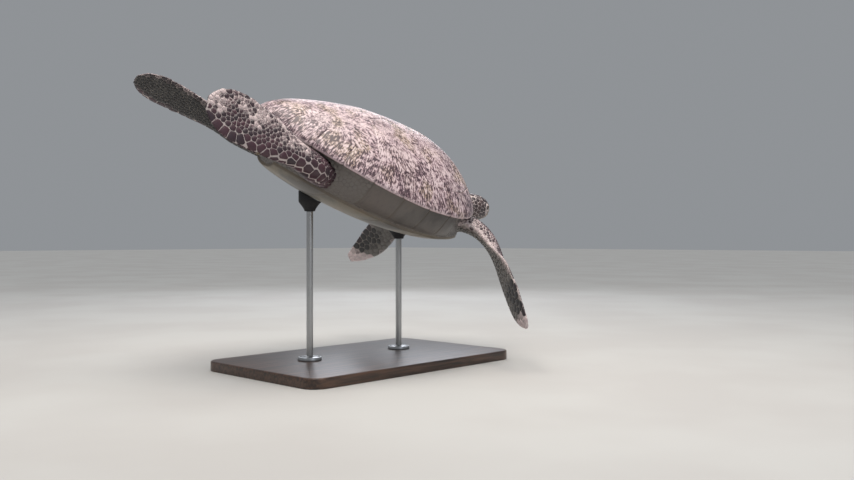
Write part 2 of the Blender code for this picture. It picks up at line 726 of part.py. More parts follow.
def rounded_rectangle(width, length, corner, steps=4):
    outline = []
    for quarter, (sx, sy) in enumerate(((1, 1), (-1, 1), (-1, -1), (1, -1))):
        for i in range(steps + 1):
            angle = math.pi / 2 * (quarter + i / steps)
            x = sx * (width / 2 - corner) + corner * math.cos(angle)
            y = sy * (length / 2 - corner) + corner * math.sin(angle)
            outline.append((x, y))
    return outline


def add_stand(pose_matrix, wood, steel, felt):
    """A flat base, and two upright rods with a flange below and a shaped pad at the belly."""
    width, length, height = BASE_SIZE
    chamfer = 0.004
    rings = []
    for level, inset in ((0, chamfer), (chamfer, 0), (height - chamfer, 0), (height, chamfer)):
        outline = rounded_rectangle(width - 2 * inset, length - 2 * inset, BASE_CORNER - inset)
        rings.append([Vector((x, y, level)) for x, y in outline])
    add_object("stand_base", *loft(rings), wood)
    rings = [belly_ring(scale, -GAP) for scale in BELLY_SCALES]
    rings += [[p + Vector((0, 0, 0.2)) for p in belly_ring(scale, -GAP)] for scale in BELLY_SCALES[::-1]]
    points, faces = loft(rings)
    body = add_cutter("cut_belly", [pose_matrix @ p for p in points], faces)
    for name, s in zip(("front", "rear"), ROD_PLACES):
        belly = pose_matrix @ Vector((0, shell_y(s), belly_z(0, shell_y(s))))
        place = (belly.x, belly.y)
        flange_top = height + GAP + FLANGE[1]
        pad_foot = belly.z - PAD[1]
        add_cylinder(f"stand_flange_{name}", FLANGE[0], height + GAP, flange_top, place, steel, 0.003)
        add_cylinder(f"stand_rod_{name}", ROD_RADIUS, flange_top + GAP, pad_foot - GAP, place, steel)
        pad = add_cylinder(f"stand_pad_{name}", PAD[0], pad_foot, belly.z + 0.05, place, felt)
        combine(pad, body, "DIFFERENCE")


# ---------------------------------------------------------------- assembly
NECK_STATIONS = (
    (-0.335, -0.022, 0.150, 0.086),
    (-0.380, -0.014, 0.146, 0.086),
    (-0.412, -0.004, 0.126, 0.080),
    (-0.436, 0.004, 0.108, 0.073),
)
TAIL_STATIONS = (
    (0.350, 0.000, 0.080, 0.060),
    (0.400, 0.008, 0.070, 0.056),
    (0.440, 0.014, 0.052, 0.044),
    (0.480, 0.018, 0.030, 0.028),
    (0.505, 0.018, 0.010, 0.010),
)

RIM = rim_outline()


def main():
    clear_scene()
    finish("guide", (0.5, 0.5, 0.5), 0.5)
    horn = finish("carapace_horn", (0.36, 0.25, 0.16), 0.45)
    rim_horn = finish("marginal_horn", (0.62, 0.50, 0.40), 0.45)
    belly_horn = finish("plastron_horn", (0.74, 0.68, 0.50), 0.5)
    skin = finish("turtle_skin", (0.30, 0.27, 0.25), 0.6)
    beak_horn = finish("beak_horn", (0.55, 0.47, 0.33), 0.4)
    glass = finish("eye_glass", (0.02, 0.015, 0.012), 0.08)
    wood = finish("stand_wood", (0.10, 0.06, 0.04), 0.45)
    steel = finish("stand_steel", (0.60, 0.60, 0.60), 0.3, 1.0)
    felt = finish("stand_felt", (0.03, 0.03, 0.03), 0.9)

    pose = bpy.data.objects.new("turtle_pose", None)
    pose.rotation_mode = "YXZ"
    pose.rotation_euler = (PITCH, BANK, 0)
    pose.location = (0, 0, BODY_HEIGHT)
    bpy.context.collection.objects.link(pose)
    bpy.context.view_layer.update()

    add_carapace(pose, horn)
    add_marginals(pose, rim_horn)
    add_plastron(pose, belly_horn)
    trunk = add_trunk(pose, skin)
    add_tube("neck", pose, skin, trunk, NECK_STATIONS, [head_back_ring()])
    add_tube("tail", pose, skin, trunk, TAIL_STATIONS)
    add_limbs(pose, skin, beak_horn, trunk)
    add_head(add_head_frame(pose), skin, beak_horn, glass)
    add_stand(pose.matrix_world.copy(), wood, steel, felt)


main()
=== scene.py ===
"""Display model of a green sea turtle: one skin, its scales, shell plates, beak, eyes, claws and stand.

Metres, +Z up. The animal is shaped in its own body frame (+X its left, -Y ahead, +Z its back) and then
placed by its pose. Along the shell, `s` runs from 0 at the front edge to 1 at the rear edge, and `u` from
0 on the midline to 1 at the rim. Along a limb, `t` runs from 0 at its root to 1 at its tip.
"""

import logging
import math
from dataclasses import dataclass, field
from enum import Enum
from typing import Any, Callable, Iterable, Sequence

import bmesh
import bpy
import numpy as np
from mathutils import Euler, Matrix, Vector, noise
from mathutils.bvhtree import BVHTree
from mathutils.kdtree import KDTree


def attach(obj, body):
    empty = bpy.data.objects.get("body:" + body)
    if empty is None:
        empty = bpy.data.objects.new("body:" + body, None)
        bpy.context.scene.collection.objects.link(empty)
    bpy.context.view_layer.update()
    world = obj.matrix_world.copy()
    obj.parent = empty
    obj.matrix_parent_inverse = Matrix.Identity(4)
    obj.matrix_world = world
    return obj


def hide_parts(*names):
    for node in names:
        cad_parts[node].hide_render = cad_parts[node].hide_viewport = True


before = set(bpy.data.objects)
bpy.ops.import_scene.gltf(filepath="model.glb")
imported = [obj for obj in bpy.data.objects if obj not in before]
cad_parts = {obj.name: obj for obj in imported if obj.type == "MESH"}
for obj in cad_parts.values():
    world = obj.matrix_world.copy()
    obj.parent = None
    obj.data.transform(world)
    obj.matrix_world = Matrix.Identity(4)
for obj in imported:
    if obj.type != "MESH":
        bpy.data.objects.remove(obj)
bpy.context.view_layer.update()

logging.basicConfig(level=logging.INFO, format="%(message)s")
LOG = logging.getLogger("turtle")

Array = np.ndarray
Faces = list[tuple[int, ...]]
Pairs = Sequence[tuple[float, float]]
Mesh = bpy.types.Mesh
Node = bpy.types.Node
Piece = bpy.types.Object
Socket = bpy.types.NodeSocket
Tree = bpy.types.NodeTree


# ---------------------------------------------------------------- curves and mesh making
class SmoothCurve:
    """A monotone cubic through given points, which never overshoots them."""

    def __init__(self, places: Sequence[float], values: Sequence[float]) -> None:
        """Works out the slopes at the points.

        Args:
            places: where the points are, rising.
            values: the value at each place.
        """
        self.x = np.array(places, float)
        self.y = np.array(values, float)
        self.run = np.diff(self.x)
        slope = np.diff(self.y) / self.run
        self.tangent = np.zeros(len(self.x))
        self.tangent[0], self.tangent[-1] = slope[0], slope[-1]
        for i in range(1, len(self.x) - 1):
            if slope[i - 1] * slope[i] > 0:
                before = 2 * self.run[i] + self.run[i - 1]
                after = self.run[i] + 2 * self.run[i - 1]
                self.tangent[i] = (before + after) / (before / slope[i - 1] + after / slope[i])

    def __call__(self, place: Any) -> Array:
        """The value at one or many places.

        Args:
            place: where to read it; beyond the ends it keeps the end values.

        Returns:
            The value at each place.
        """
        place = np.clip(np.asarray(place, float), self.x[0], self.x[-1])
        i = np.clip(np.searchsorted(self.x, place, side="right") - 1, 0, len(self.run) - 1)
        t = (place - self.x[i]) / self.run[i]
        start = (1 + 2 * t) * (1 - t) ** 2 * self.y[i] + t * (1 - t) ** 2 * self.run[i] * self.tangent[i]
        end = t * t * (3 - 2 * t) * self.y[i + 1] - t * t * (1 - t) * self.run[i] * self.tangent[i + 1]
        return start + end


def curve(pairs: Pairs) -> SmoothCurve:
    """A smooth curve through (place, value) pairs."""
    return SmoothCurve(*zip(*pairs))


def unit(vectors: Array) -> Array:
    """Vectors scaled to length 1."""
    return vectors / np.maximum(np.linalg.norm(vectors, axis=-1, keepdims=True), 1e-12)


def line_length(points: Array) -> float:
    """The length of a line through points."""
    return float(np.linalg.norm(np.diff(points, axis=0), axis=1).sum())


def ease(value: Any, low: float, high: float) -> Array:
    """A smooth step from 0 at `low` to 1 at `high`."""
    t = np.clip((np.asarray(value, float) - low) / (high - low), 0, 1)
    return t * t * (3 - 2 * t)


def tube(rings: Sequence[Array]) -> tuple[Array, Faces]:
    """A skin through rings of equal size, each end closed by a fan.

    Args:
        rings: arrays of points, one for each ring.

    Returns:
        The points and the faces, which point outwards when the rings turn left about their way.
    """
    size = len(rings[0])
    points = [np.asarray(ring, float) for ring in rings]
    faces: Faces = []
    for row in range(len(rings) - 1):
        a, b = row * size, (row + 1) * size
        for j in range(size):
            k = (j + 1) % size
            faces.append((a + j, a + k, b + k, b + j))
    last = (len(rings) - 1) * size
    total = len(rings) * size
    for centre, first, turn in ((points[0].mean(0), 0, 1), (points[-1].mean(0), last, -1)):
        points.append(centre[None])
        for j in range(size):
            k = (j + 1) % size
            faces.append((total, first + k, first + j)[::turn])
        total += 1
    return np.concatenate(points), faces


def round_turn(count: int) -> Array:
    """Angles at even steps round a full turn."""
    return 2 * np.pi * np.arange(count) / count


def deselect_all() -> None:
    """Leaves object mode and selects nothing."""
    if bpy.context.object and bpy.context.object.mode != "OBJECT":
        bpy.ops.object.mode_set(mode="OBJECT")
    bpy.ops.object.select_all(action="DESELECT")


def pick(obj: Piece) -> Piece:
    """Makes one object the only selected and the active one.

    Args:
        obj: the object.

    Returns:
        The same object.
    """
    deselect_all()
    obj.select_set(True)
    bpy.context.view_layer.objects.active = obj
    return obj


def set_attribute(mesh: Mesh, name: str, values: Array) -> None:
    """Stores a number or a vector for each vertex, for a material to read.

    Args:
        mesh: the mesh that takes the values.
        name: the name a material reads them by.
        values: a number or a vector for each vertex.
    """
    kind = "FLOAT" if values.ndim == 1 else "FLOAT_VECTOR"
    data = mesh.attributes.new(name, kind, "POINT").data
    data.foreach_set("value" if values.ndim == 1 else "vector", values.astype(np.float32).ravel())


def solid(
    name: str,
    points: Array,
    faces: Faces,
    sharp: float = 60.0,
    attributes: dict[str, Array] | None = None,
) -> Piece:
    """A closed mesh object with outward faces, smooth except at its sharp edges.

    Args:
        name: the piece's name.
        points: the place of each vertex.
        faces: the corners of each face.
        sharp: the angle in degrees past which an edge stays sharp.
        attributes: values for each vertex by name.

    Returns:
        The new object.
    """
    mesh = bpy.data.meshes.new(name)
    mesh.from_pydata(points.tolist(), [], faces)
    for key, values in (attributes or {}).items():
        set_attribute(mesh, key, np.asarray(values))
    shape = bmesh.new()
    shape.from_mesh(mesh)
    bmesh.ops.recalc_face_normals(shape, faces=shape.faces)
    shape.to_mesh(mesh)
    shape.free()
    mesh.shade_smooth()
    mesh.set_sharp_from_angle(angle=math.radians(sharp))
    obj = bpy.data.objects.new(name, mesh)
    bpy.context.scene.collection.objects.link(obj)
    return obj


def apply_modifier(obj: Piece, kind: str, **settings: Any) -> None:
    """Adds a modifier with its settings and applies it.

    Args:
        obj: the object that takes it.
        kind: Blender's name of the modifier.
        settings: its values by name.
    """
    pick(obj)
    modifier = obj.modifiers.new(kind.title(), kind)
    for key, value in settings.items():
        setattr(modifier, key, value)
    bpy.ops.object.modifier_apply(modifier=modifier.name)


def join(name: str, objects: Sequence[Piece]) -> Piece:
    """Joins objects into one of the given name.

    Args:
        name: the joined piece's name.
        objects: the objects; the first takes in the others.

    Returns:
        The joined object.
    """
    deselect_all()
    for obj in objects:
        obj.select_set(True)
    bpy.context.view_layer.objects.active = objects[0]
    bpy.ops.object.join()
    objects[0].name = name
    objects[0].data.name = name
    return objects[0]


def mesh_points(mesh: Mesh) -> Array:
    """The place of each vertex.

    Args:
        mesh: the mesh to read.

    Returns:
        One row for each vertex.
    """
    flat = np.empty(len(mesh.vertices) * 3, np.float32)
    mesh.vertices.foreach_get("co", flat)
    return flat.reshape(-1, 3).astype(float)


def mesh_normals(mesh: Mesh) -> Array:
    """The normal at each vertex.

    Args:
        mesh: the mesh to read.

    Returns:
        One row for each vertex.
    """
    flat = np.empty(len(mesh.vertices) * 3, np.float32)
    mesh.vertex_normals.foreach_get("vector", flat)
    return flat.reshape(-1, 3).astype(float)


def set_points(mesh: Mesh, points: Array) -> None:
    """Moves each vertex to its new place."""
    mesh.vertices.foreach_set("co", points.astype(np.float32).ravel())
    mesh.update()


def nearest_on(tree: BVHTree, points: Array) -> tuple[Array, Array]:
    """The nearest place on a surface for each point, and how far off it is."""
    hits = [tree.find_nearest(p) for p in points]
    return np.array([hit[0] for hit in hits]), np.array([hit[3] for hit in hits])


def ripple(points: Array, size: float, seed: float = 0.0) -> Array:
    """Smooth noise of about -1 to 1 at each point, its lumps about `size` metres across."""
    shift = Vector((seed, seed * 0.7, -seed))
    return np.array([noise.noise(Vector(p) / size + shift) for p in points])


# ---------------------------------------------------------------- pose
@dataclass(frozen=True)
class Pose:
    """How the animal hangs over its base: nose down and banked, right side down."""

    pitch: float = 11.7
    bank: float = -18.9
    height: float = 0.585

    def matrix(self) -> Matrix:
        """From the body frame to the room."""
        turn = Euler((math.radians(self.pitch), math.radians(self.bank), 0), "YXZ")
        return Matrix.Translation((0, 0, self.height)) @ turn.to_matrix().to_4x4()

    def place(self, points: Array) -> Array:
        """Moves points from the body frame into the room."""
        m = np.array(self.matrix())
        return points @ m[:3, :3].T + m[:3, 3]

    def unplace(self, points: Array) -> Array:
        """Moves points from the room into the body frame."""
        m = np.array(self.matrix())
        return (points - m[:3, 3]) @ m[:3, :3]


# ---------------------------------------------------------------- the shell's form
@dataclass(frozen=True)
class ShellForm:
    """The surfaces of the carapace and the plastron, as shares of the shell's length."""

    length: float = 0.90
    seam: float = 0.0012
    plate: float = 0.009
    rim_plate: float = 0.012
    belly_plate: float = 0.008
    band: float = 0.052
    marginals: int = 12
    centre: float = 0.48
    belly_centre: float = 0.47
    belly_reach: float = 0.62
    belly_depth: float = 0.136
    half_width: SmoothCurve = curve(
        (
            (0, 0.048), (0.02, 0.076), (0.06, 0.120), (0.12, 0.186), (0.20, 0.266), (0.30, 0.339), (0.42, 0.377),
            (0.52, 0.383), (0.64, 0.364), (0.76, 0.311), (0.86, 0.235), (0.93, 0.156), (0.97, 0.094), (1, 0.02),
        )
    )
    dome: SmoothCurve = curve(
        (
            (0, 0.008), (0.05, 0.030), (0.12, 0.096), (0.2, 0.154), (0.3, 0.202), (0.4, 0.225), (0.5, 0.228),
            (0.6, 0.220), (0.7, 0.195), (0.8, 0.158), (0.9, 0.108), (0.96, 0.063), (1, 0.011),
        )
    )
    rim: SmoothCurve = curve(
        (
            (0, 0.062), (0.1, 0.037), (0.2, 0.020), (0.3, 0.007), (0.4, 0.000), (0.5, -0.002), (0.65, 0.007),
            (0.8, 0.029), (0.9, 0.050), (1, 0.076),
        )
    )
    belly: SmoothCurve = curve(
        (
            (0.10, 0.085), (0.14, 0.160), (0.20, 0.222), (0.30, 0.268), (0.40, 0.292), (0.50, 0.290),
            (0.60, 0.270), (0.70, 0.215), (0.80, 0.145), (0.88, 0.095), (0.92, 0.045),
        )
    )

    def y(self, s: Any) -> Any:
        """Place along the body for a share of the shell."""
        return (np.asarray(s) - 0.5) * self.length

    def s(self, y: Any) -> Any:
        """Share of the shell for a place along the body."""
        return np.asarray(y) / self.length + 0.5

    def dome_z(self, x: Array, y: Array) -> Array:
        """Height of the carapace over places in plan.

        Args:
            x: places to the side.
            y: places along the body.

        Returns:
            The height at each place.
        """
        s = self.s(y)
        u = np.clip(np.abs(x) / (self.half_width(s) * self.length), 0, 1)
        return self.length * (self.rim(s) + self.dome(s) * (1 - u**2.1) ** 0.95)

    def dome_points(self, plan: Array, depth: Any = 0.0) -> Array:
        """Points at a depth under the carapace's surface.

        Args:
            plan: places in plan, as rows of x and y.
            depth: how far under the surface each lies, along its normal.

        Returns:
            One point for each place.
        """
        x, y = plan[:, 0], plan[:, 1]
        step, middle = 0.002, self.y(self.centre)
        px, py = x * 0.975, middle + (y - middle) * 0.975
        slope_x = (self.dome_z(px + step, py) - self.dome_z(px - step, py)) / (2 * step)
        slope_y = (self.dome_z(px, py + step) - self.dome_z(px, py - step)) / (2 * step)
        normal = unit(np.stack([-slope_x, -slope_y, np.ones_like(x)], axis=1))
        return np.column_stack([plan, self.dome_z(x, y)]) - normal * np.reshape(depth, (-1, 1))

    def rim_line(self, k: Array) -> Array:
        """The left rim in plan, at even steps: 0 at the nuchal's edge and two steps for each marginal.

        Args:
            k: where along the rim, in steps.

        Returns:
            A place in plan for each.
        """
        s = np.linspace(0, 1, 400)
        fine = np.column_stack([self.half_width(s) * self.length, self.y(s)])
        fine = np.vstack([fine, [0.0, self.y(0.990)]])
        along = np.concatenate([[0], np.cumsum(np.linalg.norm(np.diff(fine, axis=0), axis=1))])
        wanted = np.asarray(k) / (2 * self.marginals) * along[-1]
        return np.column_stack([np.interp(wanted, along, fine[:, i]) for i in range(2)])

    def whole_rim(self, per_step: int = 3) -> Array:
        """The closed rim in plan, from the front middle round the left, the rear and the right.

        Args:
            per_step: how many places to a step.

        Returns:
            The rim in plan.
        """
        left = self.rim_line(np.linspace(0, 2 * self.marginals, 2 * self.marginals * per_step + 1))
        right = left[-2::-1] * (-1, 1)
        return np.vstack([[[0.0, self.y(0.006)]], left, right])

    def inward(self, rim: Array, distance: Any) -> Array:
        """Rim places moved towards the shell's centre by a distance."""
        middle = np.array([0.0, self.y(self.centre)])
        return rim + unit(middle - rim) * np.reshape(distance, (-1, 1))

    def belly_z(self, x: Array, y: Array) -> Array:
        """Height of the plastron's outer surface over places in plan.

        Args:
            x: places to the side.
            y: places along the body.

        Returns:
            The height at each place.
        """
        s = self.s(y)
        u = np.clip(np.abs(x) / (self.belly(s) * self.length), 0, 1.05)
        sag = 1 - ((s - self.belly_centre) / self.belly_reach) ** 2
        return -self.belly_depth * self.length * sag * (1 - 0.25 * u**3)

    def belly_ring(self, rim: Array, scale: float, rise: float) -> Array:
        """A ring over the plastron, raised into the body.

        Args:
            rim: the rim in plan, which gives the ring its points.
            scale: its size as a share of the plastron's outline.
            rise: its height above the outer surface.

        Returns:
            The ring's points.
        """
        s = 0.10 + 0.82 * self.s(rim[:, 1])
        half = np.where(np.abs(rim[:, 0]) > 1e-6, self.belly(s) * self.length, 0.0)
        middle = self.y(self.belly_centre)
        x = np.copysign(half, rim[:, 0]) * scale
        y = middle + (self.y(s) - middle) * scale
        return np.column_stack([x, y, self.belly_z(x, y) + rise])


SHELL = ShellForm()
POSE = Pose()


# ---------------------------------------------------------------- forms of the flesh
class Side(Enum):
    """Which side of the animal a piece belongs to."""

    LEFT = 1
    RIGHT = -1

    @property
    def word(self) -> str:
        """The side's name as the nodes spell it."""
        return self.name.lower()


@dataclass(frozen=True)
class LimbForm:
    """One flipper: its path, and its reach and thickness along it."""

    name: str
    side: Side
    path: tuple[tuple[float, float, float], ...]
    reference: tuple[float, float, float]
    lead: SmoothCurve
    trail: SmoothCurve
    thick: SmoothCurve
    roll: SmoothCurve

    def frames(self, t: Array) -> tuple[Array, Array, Array, Array]:
        """Centre, way along, leading way and upper normal at shares of the length.

        Args:
            t: shares of the length.

        Returns:
            The four, one row for each share.
        """
        t = np.asarray(t, float)
        places = np.linspace(0, 1, len(self.path))
        fits = [np.polyfit(places, [p[i] for p in self.path], len(places) - 1) for i in range(3)]
        before, here, after = (
            np.stack([np.polyval(fit, share) for fit in fits], axis=-1) for share in (t - 0.01, t, t + 0.01)
        )
        along = unit(after - before)
        reference = np.array(self.reference, float)
        lead = unit(reference - along * (along @ reference)[:, None])
        normal = np.cross(lead, along) * self.side.value
        roll = np.radians(self.roll(t))[:, None]
        return here, along, lead * np.cos(roll) - normal * np.sin(roll), normal * np.cos(roll) + lead * np.sin(roll)

    def rings(self, t: Array, sides: int = 56, inset: float = 0.0) -> list[Array]:
        """Sections at shares of the length: round at the leading edge, thin at the trailing one.

        Args:
            t: shares of the length.
            sides: the number of points to a section.
            inset: how far inside the limb the sections lie.

        Returns:
            One ring for each share.
        """
        here, _, lead, normal = self.frames(t)
        angle = round_turn(sides)
        chord, lift = np.cos(angle), np.sin(angle)
        reach = np.where(chord > 0, self.lead(t)[:, None], self.trail(t)[:, None]) - inset
        height = (self.thick(t)[:, None] / 2 - inset) * lift * (1 + 0.3 * chord)
        return list(
            here[:, None] + lead[:, None] * (chord * reach)[..., None] + normal[:, None] * height[..., None]
        )

    def locate(self, points: Array) -> tuple[Array, Array, Array]:
        """Where points lie on the limb.

        Args:
            points: places in the body frame.

        Returns:
            Their share of the length, their place across (1 at the leading edge, -1 at the trailing one), and
            their height (above 0 on the upper side).
        """
        t = np.linspace(0, 1, 201)
        here, _, lead, normal = self.frames(t)
        nearest = np.concatenate(
            [((chunk[:, None] - here[None]) ** 2).sum(-1).argmin(1) for chunk in np.array_split(points, 40)]
        )
        offset = points - here[nearest]
        across = (offset * lead[nearest]).sum(-1)
        share = t[nearest]
        reach = np.where(across > 0, self.lead(share), self.trail(share))
        return share, across / reach, (offset * normal[nearest]).sum(-1)


def front_limb(side: Side, path: tuple, roll: Pairs) -> LimbForm:
    """A front flipper: a long blade with a stiff leading edge.

    Args:
        side: the animal's side.
        path: points on its centre line.
        roll: its roll in degrees along it.

    Returns:
        The form.
    """
    return LimbForm(
        f"front_{side.word}", side, path, (0, -1, 0),
        curve(((0, 0.055), (0.25, 0.050), (0.45, 0.044), (0.65, 0.050), (0.82, 0.050), (0.94, 0.034), (1, 0.016))),
        curve(
            (
                (0, 0.055), (0.12, 0.045), (0.25, 0.032), (0.45, 0.048),
                (0.65, 0.069), (0.82, 0.067), (0.94, 0.044), (1, 0.020),
            )
        ),
        curve(((0, 0.064), (0.25, 0.048), (0.45, 0.036), (0.6, 0.030), (0.8, 0.022), (1, 0.009))),
        curve(roll),
    )


def rear_limb(side: Side, path: tuple, roll: Pairs) -> LimbForm:
    """A rear flipper: a short, broad paddle.

    Args:
        side: the animal's side.
        path: points on its centre line.
        roll: its roll in degrees along it.

    Returns:
        The form.
    """
    return LimbForm(
        f"rear_{side.word}", side, path, (side.value, 0, 0),
        curve(((0, 0.045), (0.25, 0.050), (0.45, 0.044), (0.65, 0.058), (0.85, 0.066), (0.95, 0.050), (1, 0.020))),
        curve(((0, 0.045), (0.25, 0.050), (0.45, 0.048), (0.65, 0.066), (0.85, 0.076), (0.95, 0.056), (1, 0.022))),
        curve(((0, 0.066), (0.25, 0.070), (0.45, 0.048), (0.65, 0.026), (0.85, 0.014), (1, 0.008))),
        curve(roll),
    )


LIMBS = (
    front_limb(
        Side.RIGHT,
        ((-0.15, -0.285, -0.027), (-0.285, -0.335, -0.045), (-0.425, -0.325, -0.135), (-0.600, -0.262, -0.210)),
        ((0, -10), (0.35, 15), (0.6, 45), (1, 58)),
    ),
    front_limb(
        Side.LEFT,
        ((0.15, -0.285, -0.027), (0.28, -0.395, -0.050), (0.365, -0.50, -0.165), (0.52, -0.512, -0.354)),
        ((0, 0), (0.35, 15), (0.6, 45), (1, 55)),
    ),
    rear_limb(
        Side.RIGHT,
        ((-0.12, 0.27, -0.02), (-0.205, 0.385, 0.005), (-0.21, 0.53, 0.032), (-0.190, 0.71, 0.058)),
        ((0, 10), (0.35, 40), (0.6, 58), (1, 62)),
    ),
    rear_limb(
        Side.LEFT,
        ((0.12, 0.27, -0.02), (0.205, 0.385, 0.0), (0.26, 0.52, 0.018), (0.31, 0.67, 0.035)),
        ((0, 10), (0.35, 25), (0.6, 33), (1, 34)),
    ),
)


def oval(angle: Array, width: Any, height: Any, power: float = 2.0) -> tuple[Array, Array]:
    """Places round an oval: an ellipse at power 2, boxier above it.

    Args:
        angle: where round it, in radians.
        width: its half width.
        height: its half height.
        power: how boxy it is.

    Returns:
        The places across and up.
    """
    c, s = np.cos(angle), np.sin(angle)
    x = np.copysign(np.abs(c) ** (2 / power), c) * np.asarray(width) / 2
    z = np.copysign(np.abs(s) ** (2 / power), s) * np.asarray(height) / 2
    return x, z


@dataclass(frozen=True)
class HeadForm:
    """The head, in a frame of its own at the middle of its rear, with -Y ahead."""

    length: float = 0.150
    back: tuple[float, float, float] = (0, -0.460, 0.021)
    raised: float = 10.0
    turned: float = 10.0
    half_width: SmoothCurve = curve(
        ((0, 0.045), (0.12, 0.051), (0.28, 0.055), (0.45, 0.054), (0.60, 0.050), (0.74, 0.042), (0.86, 0.033),
         (0.94, 0.023), (1, 0.009))
    )
    top: SmoothCurve = curve(
        ((0, 0.034), (0.12, 0.042), (0.28, 0.047), (0.45, 0.046), (0.60, 0.042), (0.74, 0.034), (0.86, 0.024),
         (0.94, 0.014), (1, -0.004))
    )
    foot: SmoothCurve = curve(
        ((0, -0.038), (0.12, -0.042), (0.28, -0.046), (0.45, -0.047), (0.60, -0.045), (0.74, -0.042),
         (0.86, -0.039), (0.94, -0.034), (1, -0.023))
    )
    mouth: float = -0.020
    slit: float = 0.0016
    eye: tuple[float, float, float] = (0.0375, 0.60, 0.011)

    def turn(self) -> Array:
        """The head's turn: raised at the neck, then towards the animal's left."""
        raised, turned = math.radians(self.raised), math.radians(self.turned)
        return np.array(Matrix.Rotation(turned, 3, "Z") @ Matrix.Rotation(-raised, 3, "X"))

    def place(self, points: Array) -> Array:
        """Moves points from the head's frame into the body frame."""
        return points @ self.turn().T + np.array(self.back)

    def unplace(self, points: Array) -> Array:
        """Moves points from the body frame into the head's."""
        return (points - np.array(self.back)) @ self.turn()

    def surface(self, share: Array, angle: Array, grow: float = 0.0) -> Array:
        """Points on the head.

        Args:
            share: how far along the head each lies, 0 at its rear and 1 at the beak's tip.
            angle: where it lies round the head, 0 on the left and a quarter turn on top.
            grow: how far outside the surface it lies, roughly.

        Returns:
            The points in the head's own frame.
        """
        half, top, foot = self.half_width(share), self.top(share), self.foot(share)
        x, z = oval(angle, 2 * (half + grow), top - foot + 2 * grow, 2.3)
        return np.stack([x, -np.asarray(share) * self.length + 0 * x, (top + foot) / 2 + z], axis=-1)

    def rings(self, count: int, sides: int, inset: float = 0.0, start: float = 0.0) -> list[Array]:
        """Rings along the head, closer together at the beak.

        Args:
            count: the number of rings.
            sides: the number of points to a ring.
            inset: how far inside the head they lie.
            start: the share of the head at which they start.

        Returns:
            The rings.
        """
        shares = start + (1 - start) * np.sin(np.linspace(0, 1, count) * np.pi / 2) ** 0.8
        angle = round_turn(sides)
        return [self.surface(np.full(sides, share), angle, -inset) for share in shares]

    def eye_centre(self, side: Side) -> Array:
        """Middle of an eyeball in the head's frame."""
        return np.array([side.value * self.eye[0], -self.eye[1] * self.length, self.eye[2]])


HEAD = HeadForm()

NECK = ((-0.335, -0.022, 0.150, 0.086), (-0.380, -0.014, 0.146, 0.086), (-0.412, -0.004, 0.126, 0.080),
        (-0.436, 0.004, 0.108, 0.073))
TAIL = ((0.350, 0.000, 0.080, 0.060), (0.400, 0.008, 0.070, 0.056), (0.440, 0.014, 0.052, 0.044),
        (0.480, 0.018, 0.030, 0.028), (0.505, 0.018, 0.010, 0.010))


def midline_tube(stations: Sequence[tuple], count: int, sides: int, inset: float) -> list[Array]:
    """Upright ovals along the midline, through stations of y, z, width and height.

    Args:
        stations: the ovals to pass through.
        count: how many rings to make.
        sides: points in a ring.
        inset: how far inside the ovals the rings lie.

    Returns:
        The rings in the body frame.
    """
    y = [s[0] for s in stations]
    columns = [SmoothCurve(y, [s[i] for s in stations]) for i in (1, 2, 3)]
    angle = round_turn(sides)
    rings = []
    for place in np.linspace(y[0], y[-1], count):
        z, width, height = (float(column(place)) - (0 if i == 0 else 2 * inset) for i, column in enumerate(columns))
        x, lift = oval(angle, width, height)
        rings.append(np.column_stack([x, np.full(sides, place), z + lift]))
    return rings


def flank_line(rim: Array, step: float) -> Array:
    """Places on the flank under the rim: at step 0 just inside the marginals, at 1 at the plastron's edge.

    Args:
        rim: places of the rim in plan.
        step: how far down the flank.

    Returns:
        A point for each place.
    """
    share = curve(((0, 0), (0.25, 0.07), (0.5, 0.30), (0.8, 0.66), (1, 1)))
    drop = curve(((0, 0), (0.25, 0.20), (0.5, 0.50), (0.8, 0.84), (1, 1)))
    top = SHELL.dome_points(SHELL.inward(rim, 0.025), SHELL.rim_plate + 0.0032)
    foot = SHELL.belly_ring(rim, 1.0, SHELL.belly_plate + 0.0006)
    line = top + (foot - top) * float(share(step))
    line[:, 2] = top[:, 2] + (foot[:, 2] - top[:, 2]) * float(drop(step))
    return line


# ---------------------------------------------------------------- the skin
class Part(Enum):
    """The stretches of skin, each with scales and markings of its own."""

    TRUNK = 0
    NECK = 1
    HEAD = 2
    TAIL = 3
    FRONT_RIGHT = 4
    FRONT_LEFT = 5
    REAR_RIGHT = 6
    REAR_LEFT = 7


@dataclass
class Markings:
    """What the skin and the scales show at each place: how dark it is, and how far it counts as beneath, where the
    finishes paint shade with darker colours.
    """

    dark: Array
    under: Array

    def __getitem__(self, pick: Array) -> "Markings":
        """The markings at some of the places."""
        return Markings(self.dark[pick], self.under[pick])


